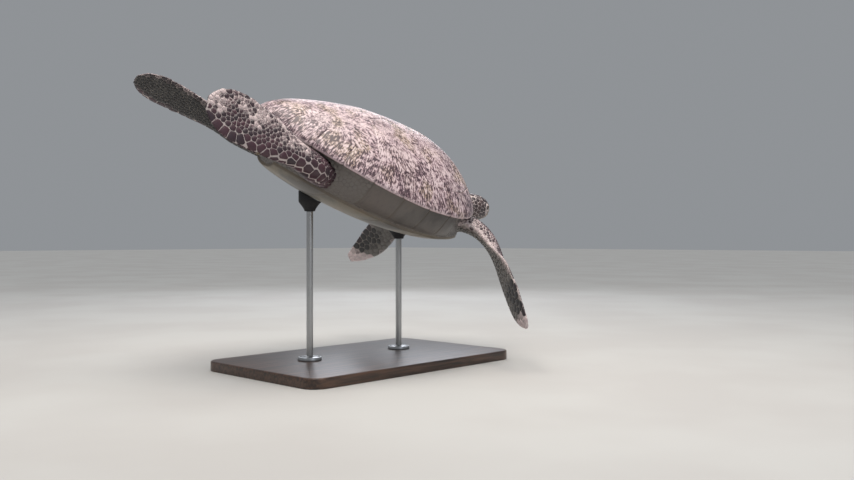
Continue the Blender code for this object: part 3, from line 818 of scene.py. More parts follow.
def limb_markings(limb: LimbForm, points: Array) -> Markings:
    """Markings of a flipper: dark scales at the leading edge and the tip, pale beneath and at the root, except beneath
    the rear flippers, which are made dark as painted shade.

    Args:
        limb: the flipper.
        points: places on it.

    Returns:
        The markings there.
    """
    t, across, height = limb.locate(points)
    thick = limb.thick(t) / 2
    under = 1 - ease(height / thick, -0.55, 0.05)
    patch = ripple(points, 0.05, 3.0)
    if limb.name.startswith("front"):
        # The root's trailing side counts as beneath, so it takes the darker colours that paint shade.
        shoulder = (1 - ease(t, 0.02, 0.10)) * ease(-across, -0.2, 0.3)
        under = np.maximum(under, shoulder)
        root = 0.66 + 0.12 * patch + 0.16 * ease(t, 0.38, 0.68)
        above = np.where(across < -0.7, root - 0.22, root + 0.14 * ease(across, -0.3, 0.5))
        below = 0.10 + 0.90 * ease(t, 0.68, 0.79) * ease(-across, -0.45, 0.05)
        below = np.maximum(below, 0.36 * ease(t, 0.58, 0.68) * ease(-across, -0.55, 0.0))
        # The tip is pale, and beneath it takes the upper face's lit colours: partly pale edges, partly painted
        # highlight.
        tip = ease(t + 0.05 * across, 0.915, 0.945)
        dark = (above * (1 - under) + below * under) * (1 - 0.92 * tip)
        under = under * (1 - tip)
    else:
        under = under * (1 - ease(across, 0.50, 0.80))
        edge = ease(across, 0.0, 0.45)
        above = 0.55 + 0.37 * edge + 0.34 * patch * (1 - edge) + 0.25 * (1 - ease(t, 0.25, 0.42))
        above = above + 0.40 * np.exp(-(((t - 0.86) / 0.06) ** 2) - ((across + 0.05) / 0.35) ** 2)
        above = above - 0.30 * ease(t, 0.92, 1.0) * ease(-across, -0.2, 0.6)
        # Painted shade: beneath the rear flippers the scales are made dark.
        below = 0.80 + 0.10 * ease(across, 0.2, 0.7)
        dark = above * (1 - under) + below * under
    return Markings(np.clip(dark, 0, 1), under)


def body_markings(part: Part, points: Array) -> Markings:
    """Markings of the trunk, the neck, the head and the tail: dark above, pale beneath.

    Args:
        part: the stretch of skin.
        points: places on it.

    Returns:
        The markings there.
    """
    if part is Part.HEAD:
        local = HEAD.unplace(points)
        share = -local[:, 1] / HEAD.length
        middle = (HEAD.top(share) + HEAD.foot(share)) / 2
        lift = (local[:, 2] - middle) / ((HEAD.top(share) - HEAD.foot(share)) / 2)
        under = 1 - ease(lift, -0.85, -0.45)
        # Painted highlight: the top of the head is a little less dark, as where light falls from above.
        dark = 0.90 - 0.12 * ease(lift, 0.55, 0.9) - 0.70 * under
        return Markings(np.clip(dark + 0.1 * ripple(points, 0.02, 5.0), 0, 1), under)
    if part is Part.TRUNK:
        # Painted shade: the whole trunk, flank included, counts as beneath and takes the darker colours.
        under = np.full(len(points), 0.95)
        dark = 0.10 + 0.12 * ripple(points, 0.06, 8.0)
        return Markings(np.clip(dark, 0, 1), under)
    stations = NECK if part is Part.NECK else TAIL
    y = [s[0] for s in stations]
    middle = SmoothCurve(y, [s[1] for s in stations])(points[:, 1])
    tall = SmoothCurve(y, [s[3] for s in stations])(points[:, 1])
    lift = (points[:, 2] - middle) / (tall / 2)
    under = 1 - ease(lift, -0.4, 0.3)
    return Markings(np.clip(0.78 + 0.15 * ripple(points, 0.03, 2.0) - 0.60 * under, 0, 1), under)


@dataclass
class Skin:
    """One skin over trunk, neck, head, tail and limbs, blended at the roots, just inside the solids' flesh."""

    voxel: float = 0.0034
    inset: float = 0.0009
    blend: float = 0.034
    obj: Piece | None = None
    points: Array = field(default_factory=lambda: np.zeros((0, 3)))
    normals: Array = field(default_factory=lambda: np.zeros((0, 3)))
    part: Array = field(default_factory=lambda: np.zeros(0, int))
    gape: Array = field(default_factory=lambda: np.zeros(0))
    tree: BVHTree | None = None

    def trunk_rings(self) -> list[Array]:
        """The body inside the shell: under the plates, down the flanks and over the belly."""
        shell = SHELL
        rim = shell.whole_rim()
        rings = []
        for scale in (0.02, 0.2, 0.4, 0.6, 0.75, 0.88, 1.0):
            middle = np.array([0.0, shell.y(shell.centre)])
            reach = np.linalg.norm(rim - middle, axis=1) - shell.band - shell.seam
            plan = middle + unit(rim - middle) * (reach * scale)[:, None]
            rings.append(shell.dome_points(plan, shell.plate + 0.0004))
        for from_rim, depth in ((0.034, shell.rim_plate + 0.001), (0.025, shell.rim_plate + 0.0032)):
            rings.append(shell.dome_points(shell.inward(rim, from_rim), depth))
        rings += [flank_line(rim, step) for step in (0.12, 0.25, 0.38, 0.5, 0.62, 0.74, 0.86, 1.0)]
        rings += [shell.belly_ring(rim, scale, shell.belly_plate + 0.0006) for scale in (0.9, 0.7, 0.4, 0.02)]
        return rings

    def belly_slab(self) -> tuple[Array, Faces]:
        """A thin body just over the plastron that fills its straight front and rear ends."""
        outline = SHELL.belly_ring(SHELL.whole_rim(4), 0.998, 0.0)[:, :2]
        outline = np.vstack([outline, outline[:1]])
        along = np.concatenate([[0.0], np.cumsum(np.linalg.norm(np.diff(outline, axis=0), axis=1))])
        even = np.linspace(0, along[-1], 480, endpoint=False)
        outline = np.column_stack([np.interp(even, along, outline[:, i]) for i in (0, 1)])
        middle = np.array([0.0, SHELL.y(SHELL.centre)])
        low = SHELL.belly_plate + 0.0006
        rings = []
        for scale, depth in ((0.02, low), (0.5, low), (0.85, low), (1.0, low), (0.990, low + 0.009), (0.5, low + 0.009),
                             (0.02, low + 0.009)):
            place = middle + (outline - middle) * scale
            rings.append(np.column_stack([place, SHELL.belly_z(place[:, 0], place[:, 1]) + depth]))
        return tube(rings)

    def forms(self) -> dict[Part, tuple[Array, Faces]]:
        """Each stretch of flesh as a closed surface of its own, in the body frame."""
        head = [HEAD.place(ring) for ring in HEAD.rings(44, 72, self.inset)]
        neck = midline_tube(NECK, 16, 72, self.inset)
        neck.append(HEAD.place(HEAD.surface(np.full(72, 0.02), round_turn(72), -0.002)))
        (body, body_faces), (slab, slab_faces) = tube(self.trunk_rings()), self.belly_slab()
        trunk_faces = list(body_faces) + [tuple(len(body) + i for i in face) for face in slab_faces]
        forms = {
            Part.TRUNK: (np.vstack([body, slab]), trunk_faces),
            Part.NECK: tube(neck),
            Part.HEAD: tube(head),
            Part.TAIL: tube(midline_tube(TAIL, 20, 40, self.inset)),
        }
        for part, limb in zip((Part.FRONT_RIGHT, Part.FRONT_LEFT, Part.REAR_RIGHT, Part.REAR_LEFT), LIMBS):
            t = np.concatenate([np.linspace(0, 0.9, 70), 1 - 0.1 * (1 - np.linspace(0, 1, 14)[1:]) ** 1.5])
            forms[part] = tube(limb.rings(t, 64, self.inset))
        return forms

    def build(self) -> Piece:
        """Melts the forms into one skin, smooths their roots and opens it where the shell covers it."""
        forms = self.forms()
        pieces = [solid(f"form_{part.name}", points, faces) for part, (points, faces) in forms.items()]
        trees = {part: BVHTree.FromPolygons(points.tolist(), faces) for part, (points, faces) in forms.items()}
        obj = join("turtle_skin", pieces)
        pick(obj)
        obj.data.remesh_voxel_size = self.voxel
        bpy.ops.object.voxel_remesh()
        apply_modifier(obj, "SMOOTH", factor=0.5, iterations=3)
        points = mesh_points(obj.data)
        off = np.stack([nearest_on(trees[part], points)[1] for part in Part], axis=1)
        part = off.argmin(1)
        others = np.sort(off, axis=1)[:, 1]
        root = 1 - ease(others, self.blend * 0.35, self.blend)
        over_belly = points[:, 2] - SHELL.belly_z(points[:, 0], points[:, 1]) - SHELL.belly_plate
        root *= np.where(part == Part.TRUNK.value, ease(over_belly, 0.003, 0.022), 1.0)
        group = obj.vertex_groups.new(name="roots")
        for i in np.flatnonzero(root > 0.02):
            group.add([int(i)], float(root[i]), "REPLACE")
        apply_modifier(obj, "SMOOTH", factor=0.5, iterations=26, vertex_group="roots")
        points = mesh_points(obj.data)
        for kind in Part:
            if kind is Part.TRUNK:
                continue
            mine = np.flatnonzero((part == kind.value) & (root < 0.9))
            target, _ = nearest_on(trees[kind], points[mine])
            points[mine] += (target - points[mine]) * (1 - root[mine])[:, None]
        set_points(obj.data, points)
        self.obj, self.part = obj, part
        self.open_under_shell(points)
        self.refine_head()
        self.read()
        self.fold()
        LOG.info("turtle_skin: %d faces", len(obj.data.polygons))
        return obj

    def hidden(self, points: Array, part: Array) -> Array:
        """Whether the carapace or the plastron covers each place.

        Args:
            points: places on the skin.
            part: the stretch that each belongs to.

        Returns:
            True where a place is covered.
        """
        shell = SHELL
        s = shell.s(points[:, 1])
        wide = np.abs(points[:, 0]) / shell.length
        above = (points[:, 2] > shell.dome_z(points[:, 0], points[:, 1]) - 0.020) & (
            wide < shell.half_width(s) - 0.055
        )
        above &= (s > 0.07) & (s < 0.95)
        below = points[:, 2] < shell.belly_z(points[:, 0], points[:, 1]) + shell.belly_plate + 0.003
        below &= (wide < shell.belly(s) - 0.016) & (s > 0.125) & (s < 0.895)
        return (above | below) & (part == Part.TRUNK.value)

    def open_under_shell(self, points: Array) -> None:
        """Takes away the skin that the plates cover, and closes each hole with a fan inside the body.

        Args:
            points: the skin's vertices.
        """
        shape = bmesh.new()
        shape.from_mesh(self.obj.data)
        layer = shape.verts.layers.int.new("part")
        shape.verts.ensure_lookup_table()
        for vert, value in zip(shape.verts, self.part):
            vert[layer] = int(value)
        gone = self.hidden(points, self.part)
        bmesh.ops.delete(shape, geom=[shape.verts[int(i)] for i in np.flatnonzero(gone)], context="VERTS")
        shape.verts.index_update()
        shape.edges.index_update()
        left = {e.index: e for e in shape.edges if e.is_boundary}
        loops: list[list] = []
        while left:
            loop, todo = [], [left.pop(min(left))]
            while todo:
                here = todo.pop()
                loop.append(here)
                for vert in here.verts:
                    for other in sorted(vert.link_edges, key=lambda e: e.index):
                        if left.pop(other.index, None):
                            todo.append(other)
            loops.append(loop)
        for loop in loops:
            corners = {v.index: v for e in loop for v in e.verts}
            middle = sum((corners[i].co for i in sorted(corners)), Vector()) / len(corners)
            centre = shape.verts.new(middle)
            centre[layer] = Part.TRUNK.value
            for e in loop:
                shape.faces.new((e.verts[0], e.verts[1], centre))
        bmesh.ops.recalc_face_normals(shape, faces=shape.faces)
        shape.to_mesh(self.obj.data)
        shape.free()

    def refine_head(self) -> None:
        """Gives the head finer faces."""
        mesh = self.obj.data
        shape = bmesh.new()
        shape.from_mesh(mesh)
        layer = shape.verts.layers.int["part"]
        edges = [e for e in shape.edges if all(v[layer] == Part.HEAD.value for v in e.verts)]
        bmesh.ops.subdivide_edges(shape, edges=edges, cuts=1, use_grid_fill=True)
        for vert in shape.verts:
            near = [e.other_vert(vert)[layer] for e in vert.link_edges]
            if vert[layer] == 0 and near and sum(v == Part.HEAD.value for v in near) >= 2:
                vert[layer] = Part.HEAD.value
        shape.to_mesh(mesh)
        shape.free()

    def read(self) -> None:
        """Reads the skin's points, normals and parts back from its mesh."""
        mesh = self.obj.data
        self.points, self.normals = mesh_points(mesh), mesh_normals(mesh)
        part = np.empty(len(mesh.vertices), np.int32)
        mesh.attributes["part"].data.foreach_get("value", part)
        self.part = part

    def fold(self) -> None:
        """Presses folds into the neck, sockets round the eyes and the mouth's line."""
        points, normals = self.points, self.normals
        shift = np.zeros(len(points))
        y = points[:, 1]
        neck = ease(-y, 0.36, 0.40) * (1 - ease(-y, 0.46, 0.475)) * (np.abs(points[:, 0]) < 0.09)
        wave = np.sin(2 * np.pi * (y + 0.012 * ripple(points, 0.05, 1.0)) / 0.013)
        shift -= neck * 0.0011 * (1 - np.abs(wave))
        head = self.part == Part.HEAD.value
        local = HEAD.unplace(points[head])
        share = -local[:, 1] / HEAD.length
        line = np.abs(local[:, 2] - HEAD.mouth + 0.006 * ease(0.60 - share, 0, 0.2))
        # This mask of the mouth's line is dented here, and the hide paints shade along it.
        gape = (1 - ease(line, 0.0006, 0.0022)) * ease(share, 0.40, 0.46)
        dent = 0.0022 * gape
        for side in Side:
            far = np.linalg.norm(local - HEAD.eye_centre(side), axis=1)
            dent += 0.0032 * (1 - ease(far, 0.0136, 0.0230))
        shift[head] -= dent
        self.points = points + normals * shift[:, None]
        room = POSE.place(self.points)
        set_points(self.obj.data, room)
        self.gape = np.zeros(len(points))
        self.gape[head] = gape
        self.normals = mesh_normals(self.obj.data)
        self.obj.data.shade_smooth()
        self.tree = BVHTree.FromPolygons(self.points.tolist(), [tuple(p.vertices) for p in self.obj.data.polygons])
        m = np.array(POSE.matrix())[:3, :3]
        self.normals = self.normals @ m

    def thin(self, most: int = 180000) -> None:
        """Joins faces that are smaller than the skin needs, except on the head.

        Args:
            most: how many triangles stay.
        """
        group = self.obj.vertex_groups.new(name="body")
        group.add(np.flatnonzero(self.part != Part.HEAD.value).tolist(), 1.0, "REPLACE")
        triangles = sum(len(p.vertices) - 2 for p in self.obj.data.polygons)
        apply_modifier(self.obj, "DECIMATE", ratio=most / triangles, vertex_group="body")

    def markings(self) -> Markings:
        """The markings of every point of the skin."""
        dark, under = np.zeros(len(self.points)), np.zeros(len(self.points))
        for part in Part:
            mine = self.part == part.value
            found = markings_of(part, self.points[mine])
            dark[mine], under[mine] = found.dark, found.under
        return Markings(dark, under)


def limb_of(part: Part) -> LimbForm:
    """The form of a limb's stretch of skin."""
    return LIMBS[part.value - Part.FRONT_RIGHT.value]


def markings_of(part: Part, points: Array) -> Markings:
    """The markings at places on one stretch of skin.

    Args:
        part: the stretch of skin.
        points: places on it.

    Returns:
        The markings there.
    """
    if part.value >= Part.FRONT_RIGHT.value:
        return limb_markings(limb_of(part), points)
    return body_markings(part, points)


# ---------------------------------------------------------------- scales
@dataclass(frozen=True)
class ScaleStyle:
    """How the scales of one stretch of skin are cut."""

    height: float = 0.0011
    border: float = 0.0016
    doming: float = 0.35
    roundness: float = 0.25


@dataclass
class Seeds:
    """Where scales sit: their roots, normals, sizes, markings and places on the unwrap."""

    points: Array
    normals: Array
    size: Array
    marks: Markings
    unwrap: Array
    blank: Array


def tangents(normal: Array) -> tuple[Array, Array]:
    """Two directions square to a normal and to each other.

    Args:
        normal: the direction they are square to.

    Returns:
        The two directions.
    """
    helper = np.array([0.0, 0.0, 1.0]) if abs(normal[2]) < 0.8 else np.array([1.0, 0.0, 0.0])
    first = np.cross(normal, helper)
    first /= np.linalg.norm(first)
    return first, np.cross(normal, first)


def clipped(polygon: list[tuple[float, float]], nx: float, ny: float, limit: float) -> list[tuple[float, float]]:
    """The part of a convex polygon where x * nx + y * ny stays under the limit.

    Args:
        polygon: its corners.
        nx: the limit's direction across.
        ny: the limit's direction up.
        limit: how far it reaches along that direction.

    Returns:
        The corners that remain.
    """
    kept = []
    for i, (x, y) in enumerate(polygon):
        px, py = polygon[i - 1]
        here, before = x * nx + y * ny - limit, px * nx + py * ny - limit
        if (here < 0) != (before < 0):
            t = before / (before - here)
            kept.append((px + (x - px) * t, py + (y - py) * t))
        if here < 0:
            kept.append((x, y))
    return kept


class ScatteredSeeds:
    """Spreads scale roots over samples of the skin, as far apart as the scales are wide."""

    def __init__(self, seed: int = 7, fold: float = 0.010) -> None:
        """Sets the random start, and how strongly the two faces of a thin blade are kept apart."""
        self.random = np.random.default_rng(seed)
        self.fold = fold

    def throw(self, points: Array, normals: Array, size: Array) -> Array:
        """Picks samples one after another, each at least most of a scale from the ones before.

        Args:
            points: places of the samples.
            normals: their normals.
            size: the width of a scale at each of them.

        Returns:
            The chosen samples' numbers.
        """
        cell = float(size.max())
        grid: dict[tuple[int, int, int], list[int]] = {}
        chosen: list[int] = []
        for i in self.random.permutation(len(points)):
            p = points[i]
            key = (int(p[0] // cell), int(p[1] // cell), int(p[2] // cell))
            reach = 0.86 * size[i]
            near = False
            for a in (-1, 0, 1):
                for b in (-1, 0, 1):
                    for c in (-1, 0, 1):
                        for j in grid.get((key[0] + a, key[1] + b, key[2] + c), ()):
                            q = points[j]
                            gap = (p[0] - q[0]) ** 2 + (p[1] - q[1]) ** 2 + (p[2] - q[2]) ** 2
                            if gap < (reach + 0.86 * size[j]) ** 2 / 4 and normals[i] @ normals[j] > -0.2:
                                near = True
            if not near:
                grid.setdefault(key, []).append(int(i))
                chosen.append(int(i))
        return np.array(chosen)

    def relax(self, points: Array, normals: Array, size: Array, chosen: Array) -> Array:
        """Moves each root towards the middle of its cell, a few times, and returns the nearest samples.

        Args:
            points: samples of the skin.
            normals: the normal at each sample.
            size: the width of a scale at each sample.
            chosen: the samples that are roots.

        Returns:
            The roots, as numbers of samples.
        """
        samples = np.hstack([points, normals * self.fold])
        weight = size**-3.0
        roots = samples[chosen]
        for _ in range(5):
            owner = np.concatenate(
                [
                    ((chunk**2).sum(1)[:, None] - 2 * chunk @ roots.T + (roots**2).sum(1)[None]).argmin(1)
                    for chunk in np.array_split(samples, max(1, len(samples) // 3000))
                ]
            )
            total = np.maximum(np.bincount(owner, weight, len(roots)), 1e-12)
            roots = np.stack([np.bincount(owner, weight * samples[:, i], len(roots)) / total for i in range(6)], 1)
        far = (samples**2).sum(1)[:, None] - 2 * samples @ roots.T + (roots**2).sum(1)[None]
        return np.unique(far.argmin(0))


class Coat:
    """Solid scales set edge to edge on the skin, each a low dome with a soft rim and a strip of skin round it."""

    def __init__(self, skin: Skin, style: ScaleStyle, seed: int) -> None:
        """Starts an empty coat over a skin.

        Args:
            skin: the skin that carries it.
            style: how its scales are cut.
            seed: the start for the scales' random tones.
        """
        self.skin, self.style = skin, style
        self.random = np.random.default_rng(seed)
        self.points: list[Array] = []
        self.faces: Faces = []
        self.tone: list[float] = []
        self.dark: list[float] = []
        self.under: list[float] = []
        self.rim: list[float] = []
        self.unwrap: list[tuple[float, float]] = []
        self.count = 0

    def outline(self, i: int, seeds: Seeds, near: Iterable[int]) -> tuple[Array, Array, Array] | None:
        """The shape of one scale: its cell among its neighbours, less the strip between them.

        Args:
            i: the scale's number.
            seeds: all the scales' roots.
            near: the numbers of its neighbours.

        Returns:
            The rounded outline in the plane of the skin and the plane's two directions, or None if nothing is left.
        """
        a, b = tangents(seeds.normals[i])
        radius = 0.72 * seeds.size[i]
        polygon = [
            (radius * math.cos(0.3 + k * math.pi / 5), radius * math.sin(0.3 + k * math.pi / 5)) for k in range(10)
        ]
        for j in near:
            offset = seeds.points[j] - seeds.points[i]
            flat = (float(offset @ a), float(offset @ b))
            length = math.hypot(*flat)
            if length < 1e-6:
                continue
            reach = float(np.linalg.norm(offset))
            share = seeds.size[i] / (seeds.size[i] + seeds.size[j])
            limit = reach * (0.5 + 0.5 * (share - 0.5)) - self.style.border / 2
            polygon = clipped(polygon, flat[0] / length, flat[1] / length, limit)
            if len(polygon) < 3:
                return None
        corners = np.array(polygon)
        merged = [corners[0]]
        for corner in corners[1:]:
            if np.linalg.norm(corner - merged[-1]) > 0.10 * seeds.size[i]:
                merged.append(corner)
        if len(merged) > 3 and np.linalg.norm(merged[0] - merged[-1]) < 0.10 * seeds.size[i]:
            merged.pop()
        if len(merged) < 3:
            return None
        corners = np.array(merged)
        after = np.roll(corners, -1, axis=0)
        cut = self.style.roundness
        return np.stack([corners * (1 - cut) + after * cut, corners * cut + after * (1 - cut)], 1).reshape(-1, 2), a, b

    def add(self, i: int, seeds: Seeds, near: Iterable[int]) -> None:
        """Adds one scale.

        Args:
            i: the scale's number.
            seeds: all the roots.
            near: the numbers of its neighbours.
        """
        found = self.outline(i, seeds, near)
        if found is None:
            return
        flat, a, b = found
        root, normal = seeds.points[i], seeds.normals[i]
        middle = flat.mean(0)
        size = float(np.abs(flat - middle).max())
        if size < 0.0016:
            return
        style = self.style
        height = style.height * (0.8 + 0.4 * self.random.random()) * min(1.0, size / 0.006)
        dome = height * (1 + style.doming)
        rings = ((1.0, -0.0005, 1.0), (0.985, 0.55 * height, 0.9), (0.84, height, 0.55))
        tree = self.skin.tree
        start = len(self.tone)
        points = []
        for scale, level, rim in (*rings, (0.0, dome, 0.0)):
            for x, y in middle + (flat - middle) * scale if scale else [middle]:
                place, face_normal, _, _ = tree.find_nearest(root + a * x + b * y)
                face_normal = np.array(face_normal)
                if face_normal @ normal < 0:
                    face_normal = normal
                lift = face_normal * 0.5 + normal * 0.5
                points.append(np.array(place) + lift / np.linalg.norm(lift) * level)
                self.rim.append(rim)
                x, y = (np.array((x, y)) - middle) / size * 0.0015 if scale else (0.0, 0.0)
                self.unwrap.append((seeds.unwrap[i, 0] + x, seeds.unwrap[i, 1] + y))
        count = len(flat)
        for row in range(2):
            for k in range(count):
                first, second = start + row * count + k, start + row * count + (k + 1) % count
                self.faces.append((first, second, second + count, first + count))
        top, tip = start + 2 * count, start + 3 * count
        self.faces += [(top + k, top + (k + 1) % count, tip) for k in range(count)]
        self.faces.append(tuple(range(start + count - 1, start - 1, -1)))
        self.points += points
        total = len(points)
        self.tone += [float(self.random.random())] * total
        self.dark += [float(seeds.marks.dark[i])] * total
        self.under += [float(seeds.marks.under[i])] * total
        self.count += 1

    def cover(self, seeds: Seeds) -> None:
        """Adds a scale at every root that isn't blank.

        Args:
            seeds: the roots.
        """
        tree = KDTree(len(seeds.points))
        for i, p in enumerate(seeds.points):
            tree.insert(p, i)
        tree.balance()
        for i in np.flatnonzero(~seeds.blank):
            near = [
                j
                for _, j, _ in tree.find_n(seeds.points[i], 26)
                if j != i and seeds.normals[i] @ seeds.normals[j] > -0.25
            ]
            self.add(int(i), seeds, near)

    def finish(self, name: str) -> Piece:
        """Makes the coat one piece, with an unwrap named OFBake.

        Args:
            name: the piece's name.

        Returns:
            The new piece.
        """
        attributes = {key: np.array(getattr(self, key)) for key in ("tone", "dark", "under", "rim")}
        obj = solid(name, POSE.place(np.array(self.points)), self.faces, 70, attributes)
        layer = obj.data.uv_layers.new(name="OFBake")
        corner = np.empty(len(obj.data.loops), np.int32)
        obj.data.loops.foreach_get("vertex_index", corner)
        layer.data.foreach_set("uv", np.array(self.unwrap, np.float32)[corner].ravel())
        triangles = sum(len(p.vertices) - 2 for p in obj.data.polygons)
        LOG.info("%s: %d scales, %d triangles", name, self.count, triangles)
        return obj


@dataclass
class Scaling:
    """Where scales grow on each stretch of skin, how wide they are and how they lie on the unwrap."""

    skin: Skin

    def unwrap(self, part: Part, points: Array) -> Array:
        """Each stretch of skin laid flat in its own eighth of the unwrap.

        Args:
            part: the stretch of skin.
            points: places on it.

        Returns:
            A place on the unwrap for each.
        """
        if part.value >= Part.FRONT_RIGHT.value:
            limb = limb_of(part)
            t, across, height = limb.locate(points)
            round_ = np.arctan2(height / limb.thick(t) * 2, across)
            u, v = t, round_ / (2 * np.pi) + 0.5
        elif part is Part.HEAD:
            local = HEAD.unplace(points)
            u, v = -local[:, 1] / HEAD.length, np.arctan2(local[:, 2], local[:, 0]) / (2 * np.pi) + 0.5
        elif part is Part.TRUNK:
            u = SHELL.s(points[:, 1])
            v = np.where(points[:, 0] > 0, 0.5, 0.0) + 0.5 * np.clip(points[:, 2] / 0.3 + 0.5, 0, 1)
        else:
            y = [s[0] for s in (NECK if part is Part.NECK else TAIL)]
            u = (points[:, 1] - min(y)) / (max(y) - min(y))
            v = np.arctan2(points[:, 2], points[:, 0]) / (2 * np.pi) + 0.5
        column, row = part.value % 4, part.value // 4
        u, v = (0.03 + 0.94 * np.clip(share, 0, 1) for share in (u, v))
        return np.column_stack([(column + u) / 4, (row + v) / 2])

    def size(self, part: Part, points: Array) -> Array:
        """The width of a scale at each place.

        Args:
            part: the stretch of skin.
            points: places on it.

        Returns:
            The width at each place.
        """
        if part.value >= Part.FRONT_RIGHT.value:
            limb = limb_of(part)
            t, across, height = limb.locate(points)
            front = limb.name.startswith("front")
            if front:
                size = 0.0105 + 0.0100 * ease(across, 0.35, 0.85) * ease(t, 0.22, 0.45)
                size = size + 0.0055 * ease(-across, 0.45, 0.9) + 0.004 * ease(t, 0.62, 0.85)
                beneath = ease(t, 0.55, 0.75) * ease(-across, -0.5, 0.1)
                size = size + (height < 0) * (0.002 + 0.0055 * beneath)
            else:
                size = 0.0108 + 0.0135 * ease(across, 0.30, 0.85) + 0.0040 * ease(-across, 0.5, 0.95)
                size = size + 0.0080 * ease(0.55 - np.abs(t - 0.30), 0.35, 0.55) * ease(across, 0.1, 0.6)
            return size * (1 - 0.30 * (1 - ease(t, 0.02, 0.30)))
        if part is Part.TRUNK:
            return np.full(len(points), 0.0120)
        if part is Part.HEAD:
            return np.full(len(points), 0.0088)
        return np.full(len(points), 0.0105 if part is Part.NECK else 0.0085)

    def seeds(self, part: Part, keep: Callable[[Array], Array] | None = None, seed: int = 1) -> Seeds:
        """Scatters roots over one stretch of skin.

        Args:
            part: the stretch.
            keep: tells which places carry scales.
            seed: the start for the scatter.

        Returns:
            The roots.
        """
        skin = self.skin
        mine = np.flatnonzero(skin.part == part.value)
        if keep is not None:
            mine = mine[keep(skin.points[mine])]
        points, normals = skin.points[mine], skin.normals[mine]
        size = self.size(part, points)
        scatter = ScatteredSeeds(seed)
        chosen = scatter.relax(points, normals, size, scatter.throw(points, normals, size))
        return self.gather(part, points[chosen], normals[chosen], size[chosen])

    def gather(self, part: Part, points: Array, normals: Array, size: Array) -> Seeds:
        """Roots at given places, with their markings and their places on the unwrap."""
        blank = np.zeros(len(points), bool)
        return Seeds(points, normals, size, markings_of(part, points), self.unwrap(part, points), blank)


def clear_of_shell(points: Array) -> Array:
    """Tells which places of a limb or the tail the carapace doesn't cover.

    Args:
        points: places on the skin.

    Returns:
        True where a place is in the open.
    """
    s = SHELL.s(points[:, 1])
    beside = np.abs(points[:, 0]) > SHELL.half_width(s) * SHELL.length - 0.004
    return (points[:, 2] < SHELL.dome_z(points[:, 0], points[:, 1]) - 0.012) | beside | (np.abs(s - 0.5) > 0.5)


def flank_places(points: Array) -> Array:
    """Places on the flank between the rim and the plastron, where small scales lie."""
    s = SHELL.s(points[:, 1])
    return (s > 0.03) & (s < 0.97) & (points[:, 2] < SHELL.dome_z(points[:, 0], points[:, 1]) - 0.014)


# Roots of the head's plates on the left, as share of the head, degrees round it (90 on top) and width.
HEAD_PLATES = (
    (0.845, 64, 0.0270), (0.660, 60, 0.0234), (0.520, 57, 0.0324), (0.340, 66, 0.0306), (0.335, 40, 0.0216),
    (0.500, 25, 0.0162), (0.455, 8, 0.0162), (0.455, -9, 0.0162), (0.520, -20, 0.0162), (0.360, 22, 0.0162),
    (0.340, 4, 0.0162), (0.330, -13, 0.0162), (0.240, 30, 0.0144), (0.225, 13, 0.0144), (0.220, -4, 0.0144),
    (0.215, -19, 0.0144), (0.220, 50, 0.0162), (0.420, -33, 0.0180), (0.290, -34, 0.0180), (0.170, -33, 0.0162),
    (0.560, -44, 0.0216), (0.430, -52, 0.0180), (0.300, -53, 0.0162), (0.120, 22, 0.0126), (0.115, 4, 0.0126),
    (0.115, -14, 0.0126), (0.125, 42, 0.0126), (0.130, 62, 0.0135), (0.735, 32, 0.0125), (0.840, 33, 0.0140),
)
HEAD_MIDLINE = ((0.640, 90, 0.0180), (0.455, 90, 0.0378), (0.235, 90, 0.0234), (0.120, 90, 0.0126))
HEAD_BLANKS = (
    (0.600, 12, 0.0306), (0.700, 12, 0.0170), (0.760, -2, 0.0198), (0.680, -14, 0.0162), (0.950, 50, 0.0108),
    (0.835, 10, 0.0180), (0.780, -30, 0.0216), (0.700, -40, 0.0180),
)


def head_seeds(scaling: Scaling) -> Seeds:
    """The head's plates, alike on both sides, with small scales over the throat.

    Args:
        scaling: how scales lie on the skin.

    Returns:
        The roots of all the scales of the head.
    """
    places, blank = [], []
    for table, is_blank in ((HEAD_PLATES, False), (HEAD_BLANKS, True)):
        for share, angle, size in table:
            places += [(share, angle, size), (share, 180 - angle, size)]
            blank += [is_blank, is_blank]
    places += list(HEAD_MIDLINE)
    blank += [False] * len(HEAD_MIDLINE)
    shares, angles, sizes = (np.array(column, float) for column in zip(*places))
    surface = HEAD.place(HEAD.surface(shares, np.radians(angles), -0.001))
    hits = [scaling.skin.tree.find_nearest(p) for p in surface]
    points, normals = np.array([h[0] for h in hits]), np.array([h[1] for h in hits])
    plates = scaling.gather(Part.HEAD, points, normals, sizes)
    plates.blank = np.array(blank)

    def throat(p: Array) -> Array:
        """Places under the chin and round the head's rear, clear of the plates.

        Args:
            p: places on the head.

        Returns:
            True where the small scales lie.
        """
        local = HEAD.unplace(p)
        share = -local[:, 1] / HEAD.length
        angle = np.degrees(np.arctan2(local[:, 2], np.abs(local[:, 0])))
        return (share < 0.75) & ((angle < -58) | (share < 0.075) & (angle > -58))

    small = scaling.seeds(Part.HEAD, throat, seed=11)
    return Seeds(
        np.vstack([plates.points, small.points]),
        np.vstack([plates.normals, small.normals]),
        np.concatenate([plates.size, small.size]),
        Markings(
            np.concatenate([plates.marks.dark, small.marks.dark]),
            np.concatenate([plates.marks.under, small.marks.under]),
        ),
        np.vstack([plates.unwrap, small.unwrap]),
        np.concatenate([plates.blank, small.blank]),
    )


# ---------------------------------------------------------------- shell plates
SEAM_12, WIDE_2 = (0.088, 0.205), (0.140, 0.295)
SEAM_23, WIDE_3 = (0.086, 0.388), (0.134, 0.485)
SEAM_34, WIDE_4 = (0.078, 0.580), (0.112, 0.672)
SEAM_45, REAR_5 = (0.056, 0.765), (0.150, 0.960)
FRONT_1 = (0.190, 0.010)
BEYOND_12, BEYOND_23, BEYOND_34 = (0.42, 0.300), (0.45, 0.505), (0.42, 0.735)


def plan(corner: tuple[float, float], side: int = 1) -> tuple[float, float]:
    """A corner of the seams, from shares of the shell to a place in plan."""
    return (corner[0] * SHELL.length * side, float(SHELL.y(corner[1])))


